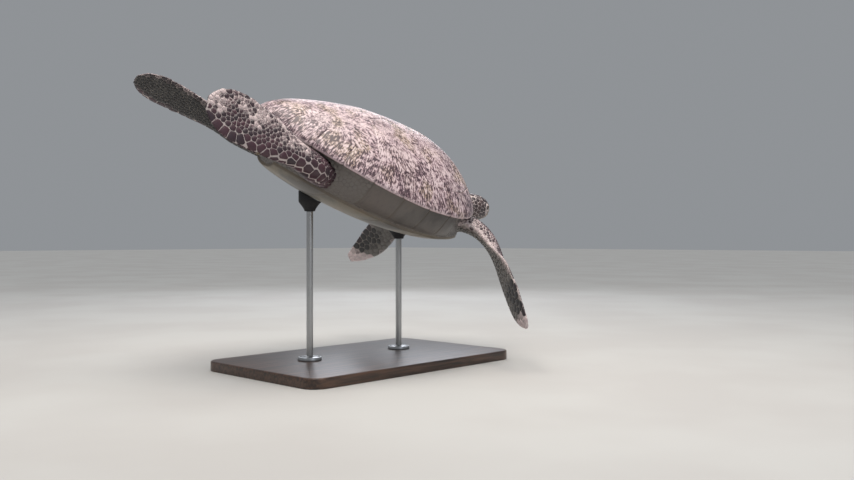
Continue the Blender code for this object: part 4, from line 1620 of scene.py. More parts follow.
def shell_plates() -> dict[str, list[tuple[float, float]]]:
    """Outline in plan of each vertebral and costal plate, reaching past the cap at the marginals."""
    front, rear = -0.05, 1.05
    halves = (
        ((FRONT_1[0], front), FRONT_1, SEAM_12),
        (SEAM_12, WIDE_2, SEAM_23),
        (SEAM_23, WIDE_3, SEAM_34),
        (SEAM_34, WIDE_4, SEAM_45),
        (SEAM_45, REAR_5, (REAR_5[0], rear)),
    )
    outlines = {}
    for number, half in enumerate(halves, 1):
        ring = [plan(corner) for corner in half]
        outlines[f"vertebral_{number}"] = ring + [(-x, y) for x, y in ring[::-1]]
    costals = (
        (SEAM_12, FRONT_1, (0.30, -0.05), (0.42, 0.10), BEYOND_12, WIDE_2),
        (SEAM_23, WIDE_2, BEYOND_12, BEYOND_23, WIDE_3),
        (SEAM_34, WIDE_3, BEYOND_23, BEYOND_34, WIDE_4),
        (SEAM_45, WIDE_4, BEYOND_34, (0.40, 1.0), REAR_5),
    )
    for side in Side:
        for number, corners in enumerate(costals, 1):
            outlines[f"costal_{side.word}_{number}"] = [plan(corner, side.value) for corner in corners]
    return outlines


def reach_to(outline: Array, centre: Array, angle: Array) -> Array:
    """How far a closed outline lies from a place inside it, in each direction.

    Args:
        outline: corners of the closed outline in plan.
        centre: the place inside.
        angle: the directions in radians.

    Returns:
        The distance to the first side met.
    """
    way = np.column_stack([np.cos(angle), np.sin(angle)])
    best = np.full(len(angle), 9.0)
    for a, b in zip(outline, np.roll(outline, -1, axis=0)):
        along, offset = b - a, a - centre
        cross = way[:, 0] * along[1] - way[:, 1] * along[0]
        cross = np.where(np.abs(cross) < 1e-12, 1e-12, cross)
        far = (offset[0] * along[1] - offset[1] * along[0]) / cross
        share = (offset[0] * way[:, 1] - offset[1] * way[:, 0]) / cross
        best = np.where((far > 0) & (share >= -1e-9) & (share <= 1 + 1e-9) & (far < best), far, best)
    return best


@dataclass(frozen=True)
class HornPlate:
    """A horn plate laid over a surface, made of rings round its growth centre.

    Its edge rolls down to the seam, and it carries, for its finish, the way its streaks run (`grain`), how far
    each place is from the seam (`edge`) and a tone of its own (`tone`).
    """

    name: str
    outline: Array
    growth: Array
    tone: float
    surface: Callable[[Array, Array], Array]
    thickness: float
    crown: float = 0.0007
    spread: float = 0.075
    corners: int = 120

    def build(self) -> Piece:
        """Makes the plate's closed mesh."""
        corner_angles = np.arctan2(*(self.outline - self.growth).T[::-1])
        angle = np.unique(np.round(np.concatenate([np.linspace(-np.pi, np.pi, self.corners, False), corner_angles]), 5))
        reach = reach_to(self.outline, self.growth, angle) - SHELL.seam * 0.2
        way = np.column_stack([np.cos(angle), np.sin(angle)])
        shares = np.concatenate([np.linspace(0.04, 0.92, 13), [0.955, 0.98, 0.993, 1.0]])
        rings, grain, edge = [], [], []

        def ring(share: float, depth: float) -> None:
            """Adds one ring and what its finish reads.

            Args:
                share: its size as a share of the plate's.
                depth: how far it lies under the outer face.
            """
            far = reach * share
            from_seam = reach - far
            rolled = 0.0009 * (1 - ease(from_seam, 0.0, 0.0035)) + self.crown * share**4
            place = self.growth + way * far[:, None]
            rings.append(self.surface(place, rolled + depth))
            stretch = (0.25 * self.spread + 0.75 * self.spread * ease(far, 0.0, 0.06) + 0.38 * far)[:, None]
            grain.append(np.column_stack([way * stretch, np.full(len(angle), self.tone * 7)]))
            edge.append(from_seam)

        for share in shares:
            ring(float(share), 0.0)
        for share, depth in ((1.0, 0.0030), (0.995, self.thickness), (0.6, self.thickness), (0.1, self.thickness)):
            ring(share, depth)
        points, faces = tube(rings)
        grain.append(np.array([[0, 0, self.tone * 7]] * 2))
        edge.append(np.full(2, float(reach.min())))
        attributes = {
            "grain": np.vstack(grain),
            "edge": np.concatenate(edge),
            "tone": np.full(len(points), self.tone),
        }
        return solid(self.name, POSE.place(points), faces, 50, attributes)


@dataclass
class Carapace:
    """The thirteen large plates of the back and the ring of marginals with the nuchal."""

    random: np.random.Generator = field(default_factory=lambda: np.random.default_rng(21))

    def cap_outline(self) -> Array:
        """The inner edge of the marginals in plan."""
        rim = SHELL.whole_rim(4)
        return SHELL.inward(rim, SHELL.band + SHELL.seam * 0.25)

    def growth_centre(self, name: str, outline: Array) -> Array:
        """Where a plate has grown from: rear and middle on the back, rear and inner on the sides.

        Args:
            name: the plate's name.
            outline: its outline in plan.

        Returns:
            The place in plan.
        """
        centre = outline.mean(0)
        if name.startswith("vertebral"):
            return np.array([0.0, centre[1] + 0.22 * (outline[:, 1].max() - centre[1])])
        inner = np.abs(outline[:, 0]).min()
        side = np.sign(centre[0])
        x = side * (inner + 0.30 * (np.abs(outline[:, 0]).max() - inner))
        return np.array([x, centre[1] + 0.20 * (outline[:, 1].max() - centre[1])])

    def clipped_outline(self, corners: Sequence[tuple[float, float]]) -> Array:
        """A plate's outline, cut back to the marginals' inner edge.

        Args:
            corners: the plate's corners in plan.

        Returns:
            The outline in plan.
        """
        cap = self.cap_outline()
        polygon = [tuple(c) for c in cap]
        ring = np.array(corners)
        area = (ring[:, 0] * np.roll(ring[:, 1], -1) - np.roll(ring[:, 0], -1) * ring[:, 1]).sum()
        if area < 0:
            ring = ring[::-1]
        for a, b in zip(ring, np.roll(ring, -1, axis=0)):
            normal = np.array([b[1] - a[1], a[0] - b[0]])
            normal = normal / np.linalg.norm(normal)
            polygon = clipped(polygon, float(normal[0]), float(normal[1]), float(normal @ a))
        return np.array(polygon)

    def build_plates(self) -> list[Piece]:
        """The vertebral and costal plates."""
        made = []
        for name, corners in shell_plates().items():
            outline = self.clipped_outline(corners)
            centre, tone = self.growth_centre(name, outline), float(self.random.random())
            obj = HornPlate(f"scute_{name}", outline, centre, tone, SHELL.dome_points, 0.0075).build()
            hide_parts(name)
            made.append(obj)
            LOG.info("%s: horn plate", obj.name)
        return made

    def section(self, rim: Array, squeeze: float) -> Array:
        """The marginals' section at a rim place: over the top, round the lip and back beneath.

        Args:
            rim: the rim place in plan.
            squeeze: how far the section is drawn in towards its own middle, at a seam.

        Returns:
            Array round the section in the body frame.
        """
        turn = np.linspace(0, np.pi, 11)
        top = np.column_stack([np.linspace(0.0513, 0.0105, 12), np.zeros(12)])
        lip = np.column_stack([0.0085 - 0.0085 * np.sin(turn), 0.006 - 0.006 * np.cos(turn)])
        under = np.column_stack([np.linspace(0.0125, 0.0505, 8), np.linspace(0.0120, 0.0092, 8)])
        back = np.array([[0.0517, 0.0080], [0.0519, 0.0015], [0.0517, 0.0004]])
        profile = np.vstack([top, lip, under, back])
        middle = np.column_stack([np.clip(profile[:, 0], 0.008, 0.046), np.full(len(profile), 0.0058)])
        profile = profile + unit(middle - profile) * squeeze
        places = SHELL.inward(np.repeat(rim[None], len(profile), 0), profile[:, 0])
        return SHELL.dome_points(places, profile[:, 1])

    def marginal(self, number: int, side: Side) -> tuple[Array, Faces, dict[str, Array]]:
        """One marginal, from its front seam to its rear one.

        Args:
            number: its number, counted from the front.
            side: the animal's side.

        Returns:
            Points, faces and what the finish reads.
        """
        length = line_length(SHELL.rim_line(np.linspace(2 * number, 2 * number + 2, 9)))
        inset = np.array([0.0, 0.0007, 0.002, 0.005]) / length
        share = np.concatenate([inset, np.linspace(0.10, 0.90, 12), 1 - inset[::-1]])
        gap = SHELL.seam * 0.30 / length
        k = 2 * number + 2 * (gap + share * (1 - 2 * gap))
        lines = SHELL.rim_line(k)
        lines[:, 0] = np.maximum(lines[:, 0], 0.0006) * side.value
        from_seam = np.minimum(share, 1 - share) * length
        squeeze = 0.0010 * (1 - ease(from_seam, 0.0, 0.0030)) + 0.0004 * (1 - ease(from_seam, 0.0, 0.012))
        rings = [self.section(rim, float(q)) for rim, q in zip(lines, squeeze)]
        tone = float(self.random.random())
        along, across = np.repeat(share * length, len(rings[0])), np.tile(self.across(rings), len(rings))
        fan = 0.6 + 6.0 * across
        grain = [(along - 0.6 * length) * (1.3 - fan * 0.4), across * 0.38, np.full(len(along), tone * 7)]
        return *tube(rings), self.marks(rings, np.column_stack(grain), from_seam, tone)

    @staticmethod
    def across(rings: Sequence[Array]) -> Array:
        """How far each point of a section lies from the lip."""
        return np.concatenate([np.linspace(0.05, 0.0, 17), np.linspace(0.0, 0.05, len(rings[0]) - 17)])

    def marks(self, rings: Sequence[Array], grain: Array, from_seam: Array, tone: float) -> dict[str, Array]:
        """What the finish of the rim reads at each point of a row of sections and of its two ends.

        Args:
            rings: the sections.
            grain: the way of the streaks at each of their points.
            from_seam: how far each section is from a seam.
            tone: the piece's own tone.

        Returns:
            The values by name.
        """
        size, count = len(rings[0]), len(rings)
        lip = np.concatenate([np.full(12, 0.0), np.linspace(0, 1, 11), np.full(size - 23, 1.0)])
        # Along the lip the finish paints a highlight, and under it paints shade.
        values = {
            "grain": grain, "edge": np.repeat(from_seam, size), "under": np.tile(lip, count),
            "rim": np.tile(1 - ease(self.across(rings), 0.001, 0.006), count), "tone": np.full(size * count, tone),
        }
        return {name: np.concatenate([value, value[:2]]) for name, value in values.items()}

    def build_rim(self) -> list[Piece]:
        """The marginals of each side as one piece, and the nuchal."""
        made = []
        for side in Side:
            row = []
            for number in range(SHELL.marginals):
                points, faces, attributes = self.marginal(number, side)
                row.append(solid(f"marginal_{number}", POSE.place(points), faces, 50, attributes))
            obj = join(f"marginals_{side.word}_scutes", row)
            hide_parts(f"marginals_{side.word}")
            made.append(obj)
            LOG.info("%s: %d marginals", obj.name, SHELL.marginals)
        edge = SHELL.rim_line(np.array([0.0]))[0]
        x = np.concatenate([[-1, -0.985, -0.96], np.linspace(-0.85, 0.85, 13), [0.96, 0.985, 1]]) * (edge[0] - 0.0006)
        y = SHELL.y(0.006) + (edge[1] - SHELL.y(0.006)) * (np.abs(x) / edge[0]) ** 1.6
        from_seam = edge[0] - np.abs(x)
        squeeze = 0.0010 * (1 - ease(from_seam, 0.0, 0.0030))
        rings = [self.section(np.array(rim), float(q)) for rim, q in zip(np.column_stack([x, y]), squeeze)]
        points, faces = tube(rings)
        along, across = np.repeat(x, len(rings[0])), np.tile(self.across(rings) * 0.3, len(rings))
        grain = np.column_stack([along, across, np.full(len(along), 2.0)])
        marks = self.marks(rings, grain, from_seam, 0.5)
        nuchal = solid("nuchal_scute", POSE.place(points), faces, 50, marks)
        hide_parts("nuchal")
        LOG.info("nuchal_scute: horn plate")
        return made + [nuchal]


@dataclass
class Plastron:
    """Six pairs of belly plates."""

    seams: tuple[float, ...] = (0.0, 0.165, 0.285, 0.430, 0.610, 0.770, 1.0)
    names: tuple[str, ...] = ("gular", "humeral", "pectoral", "abdominal", "femoral", "anal")

    def surface(self, place: Array, depth: Array) -> Array:
        """The belly's surface, raised by a depth into the body."""
        height = SHELL.belly_z(place[:, 0], place[:, 1])
        return np.column_stack([place, height + depth])

    def build(self) -> list[Piece]:
        """Makes the twelve plates."""
        rim = SHELL.whole_rim(4)
        outline = SHELL.belly_ring(rim, 0.9985, 0.0)[:, :2]
        random = np.random.default_rng(5)
        made = []
        for name, start, end in zip(self.names, self.seams, self.seams[1:]):
            for side in Side:
                polygon = [tuple(p) for p in outline]
                low, high = float(SHELL.y(start)), float(SHELL.y(end))
                polygon = clipped(polygon, 0.0, -1.0, -low)
                polygon = clipped(polygon, 0.0, 1.0, high)
                polygon = clipped(polygon, -float(side.value), 0.0, 0.0)
                ring = np.array(polygon)
                growth, tone = ring.mean(0) * (0.8, 1.0), float(random.random())
                word = f"{name}_{side.word}_scute"
                obj = HornPlate(word, ring, growth, tone, self.surface, 0.0072, 0.0008, 0.05, 96).build()
                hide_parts(f"{name}_{side.word}")
                made.append(obj)
        LOG.info("plastron: %d plates", len(made))
        return made


@dataclass
class Bridge:
    """The bridge between the shell's two halves: four plain plates on each flank."""

    start: float = 6.4
    stride: float = 2.35
    count: int = 4
    steps: tuple[float, float] = (0.20, 0.95)
    seam: float = 0.0005

    def plate(self, number: int, side: Side, tone: float) -> Piece:
        """One plate: a grid over the flank, rolled down at its edges, with the body behind it closed.

        Args:
            number: its number, counted from the front.
            side: the animal's side.
            tone: its own tone.

        Returns:
            The piece.
        """
        across, down = 26, 20
        line = SHELL.rim_line(self.start + self.stride * (number + np.linspace(0, 1, across)))
        line[:, 0] *= side.value
        low, high = self.steps
        grid = np.array([flank_line(line, float(step)) for step in np.linspace(low, high, down)])
        length, height = line_length(grid[down // 2]), line_length(grid[:, across // 2])
        u, v = np.meshgrid(np.linspace(0, 1, across), np.linspace(0, 1, down))
        u, v = u + 0.10 * np.sin(2 * np.pi * u) / (2 * np.pi), v + 0.10 * np.sin(2 * np.pi * v) / (2 * np.pi)
        gap_u, gap_v = self.seam / length, self.seam / height
        lean = 0.035 * np.sin(np.pi * v) * (-1 if number % 2 else 1)
        share_u = np.clip(gap_u + u * (1 - 2 * gap_u) + lean * (1 - 2 * u) * 0.3, 0, 1)
        share_v = gap_v + v * (1 - 2 * gap_v)
        from_seam = np.minimum(np.minimum(u, 1 - u) * length, np.minimum(v, 1 - v) * height)
        columns, rows = share_u * (across - 1), share_v * (down - 1)
        i, j = np.clip(columns.astype(int), 0, across - 2), np.clip(rows.astype(int), 0, down - 2)
        a, b = (columns - i)[..., None], (rows - j)[..., None]
        near, far = (grid[row, i] * (1 - a) + grid[row, i + 1] * a for row in (j, j + 1))
        face = near * (1 - b) + far * b
        way = unit(np.cross(np.gradient(face, axis=1), np.gradient(face, axis=0)))
        way *= np.sign((way * (face * (1, 0, 0) + (0, 0, -0.001))).sum(-1, keepdims=True))
        rise = 0.0012 * ease(from_seam, -0.0002, 0.0030) + 0.0003
        points = np.concatenate([(face + way * rise[..., None]).reshape(-1, 3), (face - way * 0.003).reshape(-1, 3)])
        faces = []
        total = across * down
        for row in range(down - 1):
            for column in range(across - 1):
                k = row * across + column
                quad = (k, k + 1, k + across + 1, k + across)
                faces += [quad, tuple(total + q for q in reversed(quad))]
        border = list(range(across)) + [r * across + across - 1 for r in range(1, down)]
        border += [total - 1 - c for c in range(1, across)] + [r * across for r in range(down - 2, 0, -1)]
        for k, after in zip(border, border[1:] + border[:1]):
            faces.append((after, k, total + k, total + after))
        grain = np.stack([u * length, v * height * 0.4, np.full(u.shape, tone * 7)], -1).reshape(-1, 3)
        attributes = {"grain": np.vstack([grain] * 2), "edge": np.tile(from_seam.ravel(), 2)}
        return solid(f"bridge_{side.word}_{number}", POSE.place(points), faces, 50, attributes)

    def build(self) -> Piece:
        """Makes the plates of both flanks as one piece."""
        random = np.random.default_rng(8)
        row = [self.plate(number, side, float(random.random())) for side in Side for number in range(self.count)]
        obj = join("bridge_scutes", row)
        LOG.info("bridge_scutes: %d plates", len(row))
        return obj


# ---------------------------------------------------------------- eyes, beak and claws
@dataclass
class Face:
    """The eyes with their lids, the two halves of the beak and the nostrils."""

    ball: float = 0.0136
    gaze: tuple[float, float, float] = (0.90, -0.36, 0.10)

    def gaze_frame(self, side: Side) -> tuple[Array, Array, Array]:
        """Which way an eye looks, and the forward and upward ways across it.

        Args:
            side: the eye's side.

        Returns:
            The three directions.
        """
        look = unit(np.array([self.gaze[0] * side.value, self.gaze[1], self.gaze[2]]))
        ahead = np.array([0.0, -1.0, -0.12])
        ahead = unit(ahead - look * (ahead @ look))
        up = np.cross(look, ahead) * -side.value
        return look, ahead, up

    def eye(self, side: Side) -> Piece:
        """An eyeball, its cornea a little proud, with the distance from the pupil's middle for its finish.

        Args:
            side: the eye's side.

        Returns:
            The piece.
        """
        look, ahead, up = self.gaze_frame(side)
        centre = HEAD.eye_centre(side)
        rings, off = [], []
        count = 48
        turn = round_turn(count)
        for open_ in np.radians(np.concatenate([np.linspace(2, 60, 22), np.linspace(68, 178, 14)])):
            bulge = self.ball + 0.0010 * (1 - float(ease(math.degrees(open_), 18, 34)))
            spoke = np.cos(turn)[:, None] * ahead + np.sin(turn)[:, None] * up
            rings.append(centre + (look * math.cos(open_) + spoke * math.sin(open_)) * bulge)
            off.append(np.full(count, open_))
        points, faces = tube(rings)
        off = np.append(np.concatenate(off), [0.0, math.pi])
        obj = solid(f"eyeball_{side.word}", POSE.place(HEAD.place(points)), faces, 80, {"open": off})
        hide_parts(f"eye_{side.word}")
        LOG.info("%s: cornea and iris", obj.name)
        return obj

    def lids(self, side: Side) -> tuple[Array, Faces]:
        """The lids round an eye: a thick rolled rim, creases, and a slope down to the socket.

        Args:
            side: the eye's side.

        Returns:
            Points and faces.
        """
        look, ahead, up = self.gaze_frame(side)
        centre = HEAD.eye_centre(side)
        count = 72
        turn = round_turn(count)
        c, s = np.cos(turn), np.sin(turn)
        opening = np.radians(47 * np.abs(c) ** 1.6 + np.where(s > 0, 30, 35) * np.abs(s) ** 1.3)
        spoke = c[:, None] * ahead + s[:, None] * up
        rings = []
        steps = (
            (-3.0, self.ball + 0.0001), (-1.5, 0.01400), (0.5, 0.01458), (3.5, 0.0149), (8, 0.0148), (10.5, 0.0144),
            (13, 0.0147), (18, 0.0148), (21, 0.0143), (24, 0.0145), (30, 0.0144), (36, 0.0139), (44, 0.0132),
        )
        for step, radius in steps:
            angle = np.minimum(opening + math.radians(step), math.radians(96))[:, None]
            rings.append(centre + (look * np.cos(angle) + spoke * np.sin(angle)) * radius)
        rings.append(centre + (look * 0.1 + spoke * 0.99) * 0.011)
        return tube(rings)

    def beak(self, upper: bool) -> Piece:
        """Half of the beak: cut from the head's form, then rounded, hooked and given a rim.

        Args:
            upper: whether it is the upper half.

        Returns:
            The piece.
        """
        name = "beak_upper" if upper else "beak_lower"
        points, faces = tube([ring for ring in HEAD.rings(60, 96, -0.0002, 0.40)])
        obj = solid(f"{name}_sheath", points, faces)
        low = HEAD.mouth - HEAD.slit
        if upper:
            side_view = ((0.645, HEAD.mouth + 0.0003), (0.655, -0.0150), (0.72, -0.0060), (0.88, 0.0030), (1.2, 0.0068),
                         (1.2, HEAD.mouth + 0.0003))
        else:
            side_view = ((0.685, low), (0.752, -0.08), (1.2, -0.08), (1.2, low))
        outline = [(-share * HEAD.length, z) for share, z in side_view]
        walls = [[x] + list(p) for x in (-0.1, 0.1) for p in outline]
        count = len(outline)
        sides = [tuple(range(count)), tuple(range(2 * count - 1, count - 1, -1))]
        sides += [(i, (i + 1) % count, (i + 1) % count + count, i + count) for i in range(count)]
        cutter = solid("beak_cutter", np.array(walls), sides)
        apply_modifier(obj, "BOOLEAN", operation="INTERSECT", solver="EXACT", object=cutter)
        bpy.data.objects.remove(cutter)
        pick(obj)
        obj.data.remesh_voxel_size = 0.0008
        bpy.ops.object.voxel_remesh()
        apply_modifier(obj, "SMOOTH", factor=0.5, iterations=4)
        p = mesh_points(obj.data)
        share = -p[:, 1] / HEAD.length
        if upper:
            edge = 1 - ease(p[:, 2], HEAD.mouth + 0.0005, HEAD.mouth + 0.004)
            p[:, 0] *= 1 + 0.03 * edge * ease(share, 0.6, 0.8)
            p[:, 2] -= 0.0012 * ease(share, 0.93, 1.0) * edge
        else:
            edge = ease(p[:, 2], low - 0.005, low)
            p[:, 0] *= 1 - 0.06 * edge * ease(share, 0.7, 0.85)
        p[:, 1] -= 0.0014 * ease(share, 0.90, 0.99)
        set_points(obj.data, p)
        set_attribute(obj.data, "lip", edge)
        set_points(obj.data, POSE.place(HEAD.place(mesh_points(obj.data))))
        obj.data.shade_smooth()
        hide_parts(name)
        LOG.info("%s: %d faces", obj.name, len(obj.data.polygons))
        return obj

    def nostrils(self) -> tuple[Array, Faces]:
        """Two small raised rims with a pit, above the beak."""
        points, faces = [], []
        profile = ((0.0036, -0.0018), (0.0031, 0.0002), (0.0023, 0.0006), (0.0015, 0.0004), (0.0012, -0.0009))
        for side in Side:
            centre = HEAD.surface(np.array(0.945), np.radians(90 - side.value * 38.0), 0.0)
            outer = HEAD.surface(np.array(0.945), np.radians(90 - side.value * 38.0), 0.004)
            out = unit(outer - centre + np.array([0, -0.003, 0]))
            a, b = tangents(out)
            turn = round_turn(20)
            rings = []
            for radius, lift in profile:
                spoke = np.cos(turn)[:, None] * a * 0.8 + np.sin(turn)[:, None] * b * 1.25
                rings.append(centre + spoke * radius + out * lift)
            more, sides = tube(rings)
            base = sum(len(p) for p in points)
            points.append(more)
            faces += [tuple(base + i for i in f) for f in sides]
        return np.concatenate(points), faces


@dataclass(frozen=True)
class Claw:
    """A flipper's claw: a short curved horn at the leading edge."""

    limb: LimbForm
    share: float = 0.68
    length: float = 0.024
    root: float = 0.010
    radius: float = 0.0042

    def build(self) -> Piece:
        """Makes the claw along its curve."""
        here, along, lead, normal = (v[0] for v in self.limb.frames(np.array([self.share])))
        start = here + lead * (float(self.limb.lead(self.share)) - self.root)
        way = unit(lead * 0.7 + along * 0.7)
        across = np.cross(way, normal)
        turn = round_turn(16)
        rings = []
        for share in (0, 0.2, 0.4, 0.52, 0.64, 0.74, 0.83, 0.90, 0.96, 0.99):
            radius = self.radius * math.sqrt(max(1 - max(share - 0.3, 0) ** 1.7 / 0.7**1.7 * 0.97, 0.01))
            middle = start + way * share * self.length + along * 0.003 * share**2
            spoke = np.cos(turn)[:, None] * across * radius + np.sin(turn)[:, None] * normal * radius * 0.8
            rings.append(middle + spoke)
        points, faces = tube(rings)
        name = self.limb.name.replace("_", "_claw_")
        obj = solid(f"{name}_horn", POSE.place(points), faces, 60)
        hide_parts(name)
        LOG.info("%s: curved claw", obj.name)
        return obj


# ---------------------------------------------------------------- display stand
@dataclass(frozen=True)
class Stand:
    """A flat wooden base, two steel rods with flanges below, and rubber pads under the belly."""

    size: tuple[float, float, float] = (0.52, 0.84, 0.030)
    corner: float = 0.05
    rod: float = 0.010
    rods: tuple[float, float] = (0.27, 0.70)
    flange: tuple[float, float] = (0.036, 0.012)
    pad: tuple[float, float] = (0.034, 0.045)
    gap: float = 0.0004

    def base(self) -> Piece:
        """The base: a board with round corners and a profiled upper edge."""
        deselect_all()
        width, length, height = self.size
        bpy.ops.mesh.primitive_cube_add(size=1, location=(0, 0, height / 2), scale=(width, length, height))
        board = bpy.context.object
        board.name = "stand_base_board"
        bpy.ops.object.transform_apply(location=True, rotation=False, scale=True)
        self.bevel(board, lambda a, b: abs(a.z - b.z) > 1e-5, self.corner, 10)
        self.bevel(board, lambda a, b: min(a.z, b.z) > height - 1e-5, 0.0050, 4)
        self.bevel(board, lambda a, b: max(a.z, b.z) < 1e-5, 0.0020, 2)
        pick(board)
        bpy.ops.object.shade_smooth_by_angle(angle=math.radians(32))
        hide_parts("stand_base")
        LOG.info("stand_base_board: rounded board")
        return board

    @staticmethod
    def bevel(obj: Piece, chosen: Callable[[Vector, Vector], bool], width: float, segments: int) -> None:
        """Bevels the edges whose two ends pass a test.

        Args:
            obj: the piece.
            chosen: the test.
            width: how wide the bevel is.
            segments: how many steps it has.
        """
        pick(obj)
        bpy.ops.object.mode_set(mode="EDIT")
        bpy.ops.mesh.select_mode(type="EDGE")
        bpy.ops.mesh.select_all(action="DESELECT")
        for edge in bmesh.from_edit_mesh(obj.data).edges:
            if chosen(*(v.co for v in edge.verts)):
                edge.select_set(True)
        bmesh.update_edit_mesh(obj.data)
        bpy.ops.mesh.bevel(offset=width, offset_type="OFFSET", segments=segments, affect="EDGES")
        bpy.ops.object.mode_set(mode="OBJECT")

    def turned(self, name: str, place: tuple[float, float], profile: Pairs, steps: int = 48) -> Piece:
        """A turned piece: an upright profile of radius and height, spun round its axis.

        Args:
            name: the piece's name.
            place: its axis in plan.
            profile: its outline from the axis at the foot to the axis at the top.
            steps: faces round it.

        Returns:
            The piece.
        """
        deselect_all()
        mesh = bpy.data.meshes.new(name)
        points = [(place[0] + radius, place[1], z) for radius, z in profile]
        mesh.from_pydata(points, [(i, i + 1) for i in range(len(points) - 1)], [])
        obj = bpy.data.objects.new(name, mesh)
        bpy.context.scene.collection.objects.link(obj)
        pick(obj)
        bpy.ops.object.mode_set(mode="EDIT")
        bpy.ops.mesh.select_all(action="SELECT")
        bpy.ops.mesh.spin(steps=steps, angle=2 * math.pi, center=(*place, 0), axis=(0, 0, 1))
        bpy.ops.mesh.select_all(action="SELECT")
        bpy.ops.mesh.remove_doubles(threshold=0.00002)
        bpy.ops.mesh.normals_make_consistent(inside=False)
        bpy.ops.object.mode_set(mode="OBJECT")
        bpy.ops.object.shade_smooth_by_angle(angle=math.radians(35))
        return obj

    def support(self, word: str, s: float) -> dict[str, Piece]:
        """One rod with its flange, its screws and the pad that carries the belly.

        Args:
            word: front or rear.
            s: the place along the shell's length.

        Returns:
            The pieces by kind.
        """
        y = SHELL.y(np.array([s]))
        belly = POSE.place(np.column_stack([0 * y, y, SHELL.belly_z(0 * y, y)]))[0]
        place, base = (float(belly[0]), float(belly[1])), self.size[2]
        radius, height = self.flange
        low, top = base + self.gap, base + self.gap + height
        rod_low, rod_top = top + self.gap, float(belly[2]) - self.pad[1] - self.gap
        flange = self.turned(
            f"stand_flange_{word}_turned", place,
            (
                (0, low), (radius - 0.0006, low), (radius, low + 0.0006), (radius, top - 0.0045),
                (radius - 0.001, top - 0.0028), (0.0190, top - 0.0020), (0.0165, top - 0.0005), (0.0160, top), (0, top),
            ),
            64,
        )
        screws = []
        for quarter in range(4):
            angle = math.pi / 4 + quarter * math.pi / 2
            spot = (place[0] + 0.0265 * math.cos(angle), place[1] + 0.0265 * math.sin(angle))
            level = top - 0.0024
            screw = self.turned(
                f"screw_{quarter}", spot,
                (
                    (0, level - 0.002), (0.0034, level - 0.002), (0.0034, level + 0.0008), (0.0028, level + 0.0013),
                    (0.0017, level + 0.0014), (0.0015, level + 0.0003), (0, level + 0.0003),
                ),
                16,
            )
            screws.append(screw)
        flange = join(f"stand_flange_{word}_turned", [flange, *screws])
        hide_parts(f"stand_flange_{word}")
        rod = self.turned(
            f"stand_rod_{word}_bar", place,
            (
                (0, rod_low), (self.rod, rod_low), (self.rod, rod_top - 0.0008), (self.rod - 0.0008, rod_top),
                (0, rod_top),
            ),
        )
        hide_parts(f"stand_rod_{word}")
        pad = self.pad_piece(word, place, rod_top + self.gap)
        LOG.info("stand_%s: flange, rod and pad", word)
        return {"flange": flange, "rod": rod, "pad": pad}

    def pad_piece(self, word: str, place: tuple[float, float], foot: float) -> Piece:
        """A rubber pad, waisted below and shaped to the belly above.

        Args:
            word: front or rear.
            place: its middle in plan.
            foot: the height of its underside.

        Returns:
            The piece.
        """
        count = 64
        turn = round_turn(count)
        profile = ((0.0150, 0.0), (0.0165, 0.0015), (0.0175, 0.006), (0.0240, 0.016), (0.0320, 0.026), (0.0338, 0.030))
        rings = [
            np.column_stack([place[0] + r * np.cos(turn), place[1] + r * np.sin(turn), np.full(count, foot + z)])
            for r, z in profile
        ]
        for radius, gap in ((0.0338, 0.0022), (0.0330, 0.0008), (0.0310, 0.0005), (0.0180, 0.0005), (0.004, 0.0005)):
            rings.append(self.under_belly(place, radius, turn, gap))
        points, faces = tube(rings)
        pad = solid(f"stand_pad_{word}_rubber", points, faces, 50)
        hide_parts(f"stand_pad_{word}")
        return pad

    @staticmethod
    def under_belly(place: tuple[float, float], radius: float, turn: Array, gap: float) -> Array:
        """A ring of places straight under the belly's surface, a little below it.

        Args:
            place: the ring's middle in plan.
            radius: its radius.
            turn: the angle of each place.
            gap: how far below the surface it lies.

        Returns:
            The ring.
        """
        x, y = place[0] + radius * np.cos(turn), place[1] + radius * np.sin(turn)
        room = np.column_stack([x, y, np.full(len(turn), 0.45)])
        for _ in range(12):
            body = POSE.unplace(room)
            short = SHELL.belly_z(body[:, 0], body[:, 1]) - body[:, 2] - gap
            room[:, 2] += short * 0.93
        return room


# ---------------------------------------------------------------- finishes
def paint(code: str) -> tuple[float, float, float, float]:
    """A linear colour from an sRGB hex value.

    Args:
        code: a hash sign and six digits.

    Returns:
        Red, green, blue and full cover.
    """
    parts = [int(code[i : i + 2], 16) / 255 for i in (1, 3, 5)]
    linear = [c / 12.92 if c <= 0.04045 else ((c + 0.055) / 1.055) ** 2.4 for c in parts]
    return (*linear, 1.0)


def add_node(
    tree: Tree, kind: str, settings: dict[Any, Any] | None = None, links: dict[Any, Node | Socket] | None = None
) -> Node:
    """Adds a node with its settings and links.

    Args:
        tree: the material's node tree.
        kind: the node's type, without its ShaderNode prefix.
        settings: values for its properties or its inputs by name or number; `stops` fills a colour ramp.
        links: what feeds each input, by name or number: a socket, or a node for its main result.

    Returns:
        The new node.
    """
    node = tree.nodes.new("ShaderNode" + kind)
    for key, value in (settings or {}).items():
        if key == "stops":
            elements = node.color_ramp.elements
            while len(elements) < len(value):
                elements.new(0.5)
            for element, (place, colour) in zip(elements, value):
                element.position = place
                element.color = paint(colour) if isinstance(colour, str) else (colour, colour, colour, 1)
        elif isinstance(key, str) and hasattr(node, key):
            setattr(node, key, value)
        else:
            node.inputs[key].default_value = paint(value) if isinstance(value, str) else value
    for key, source in (links or {}).items():
        if isinstance(source, Node):
            source = source.outputs[2 if source.bl_idname == "ShaderNodeMix" else 0]
        tree.links.new(source, node.inputs[key])
    return node


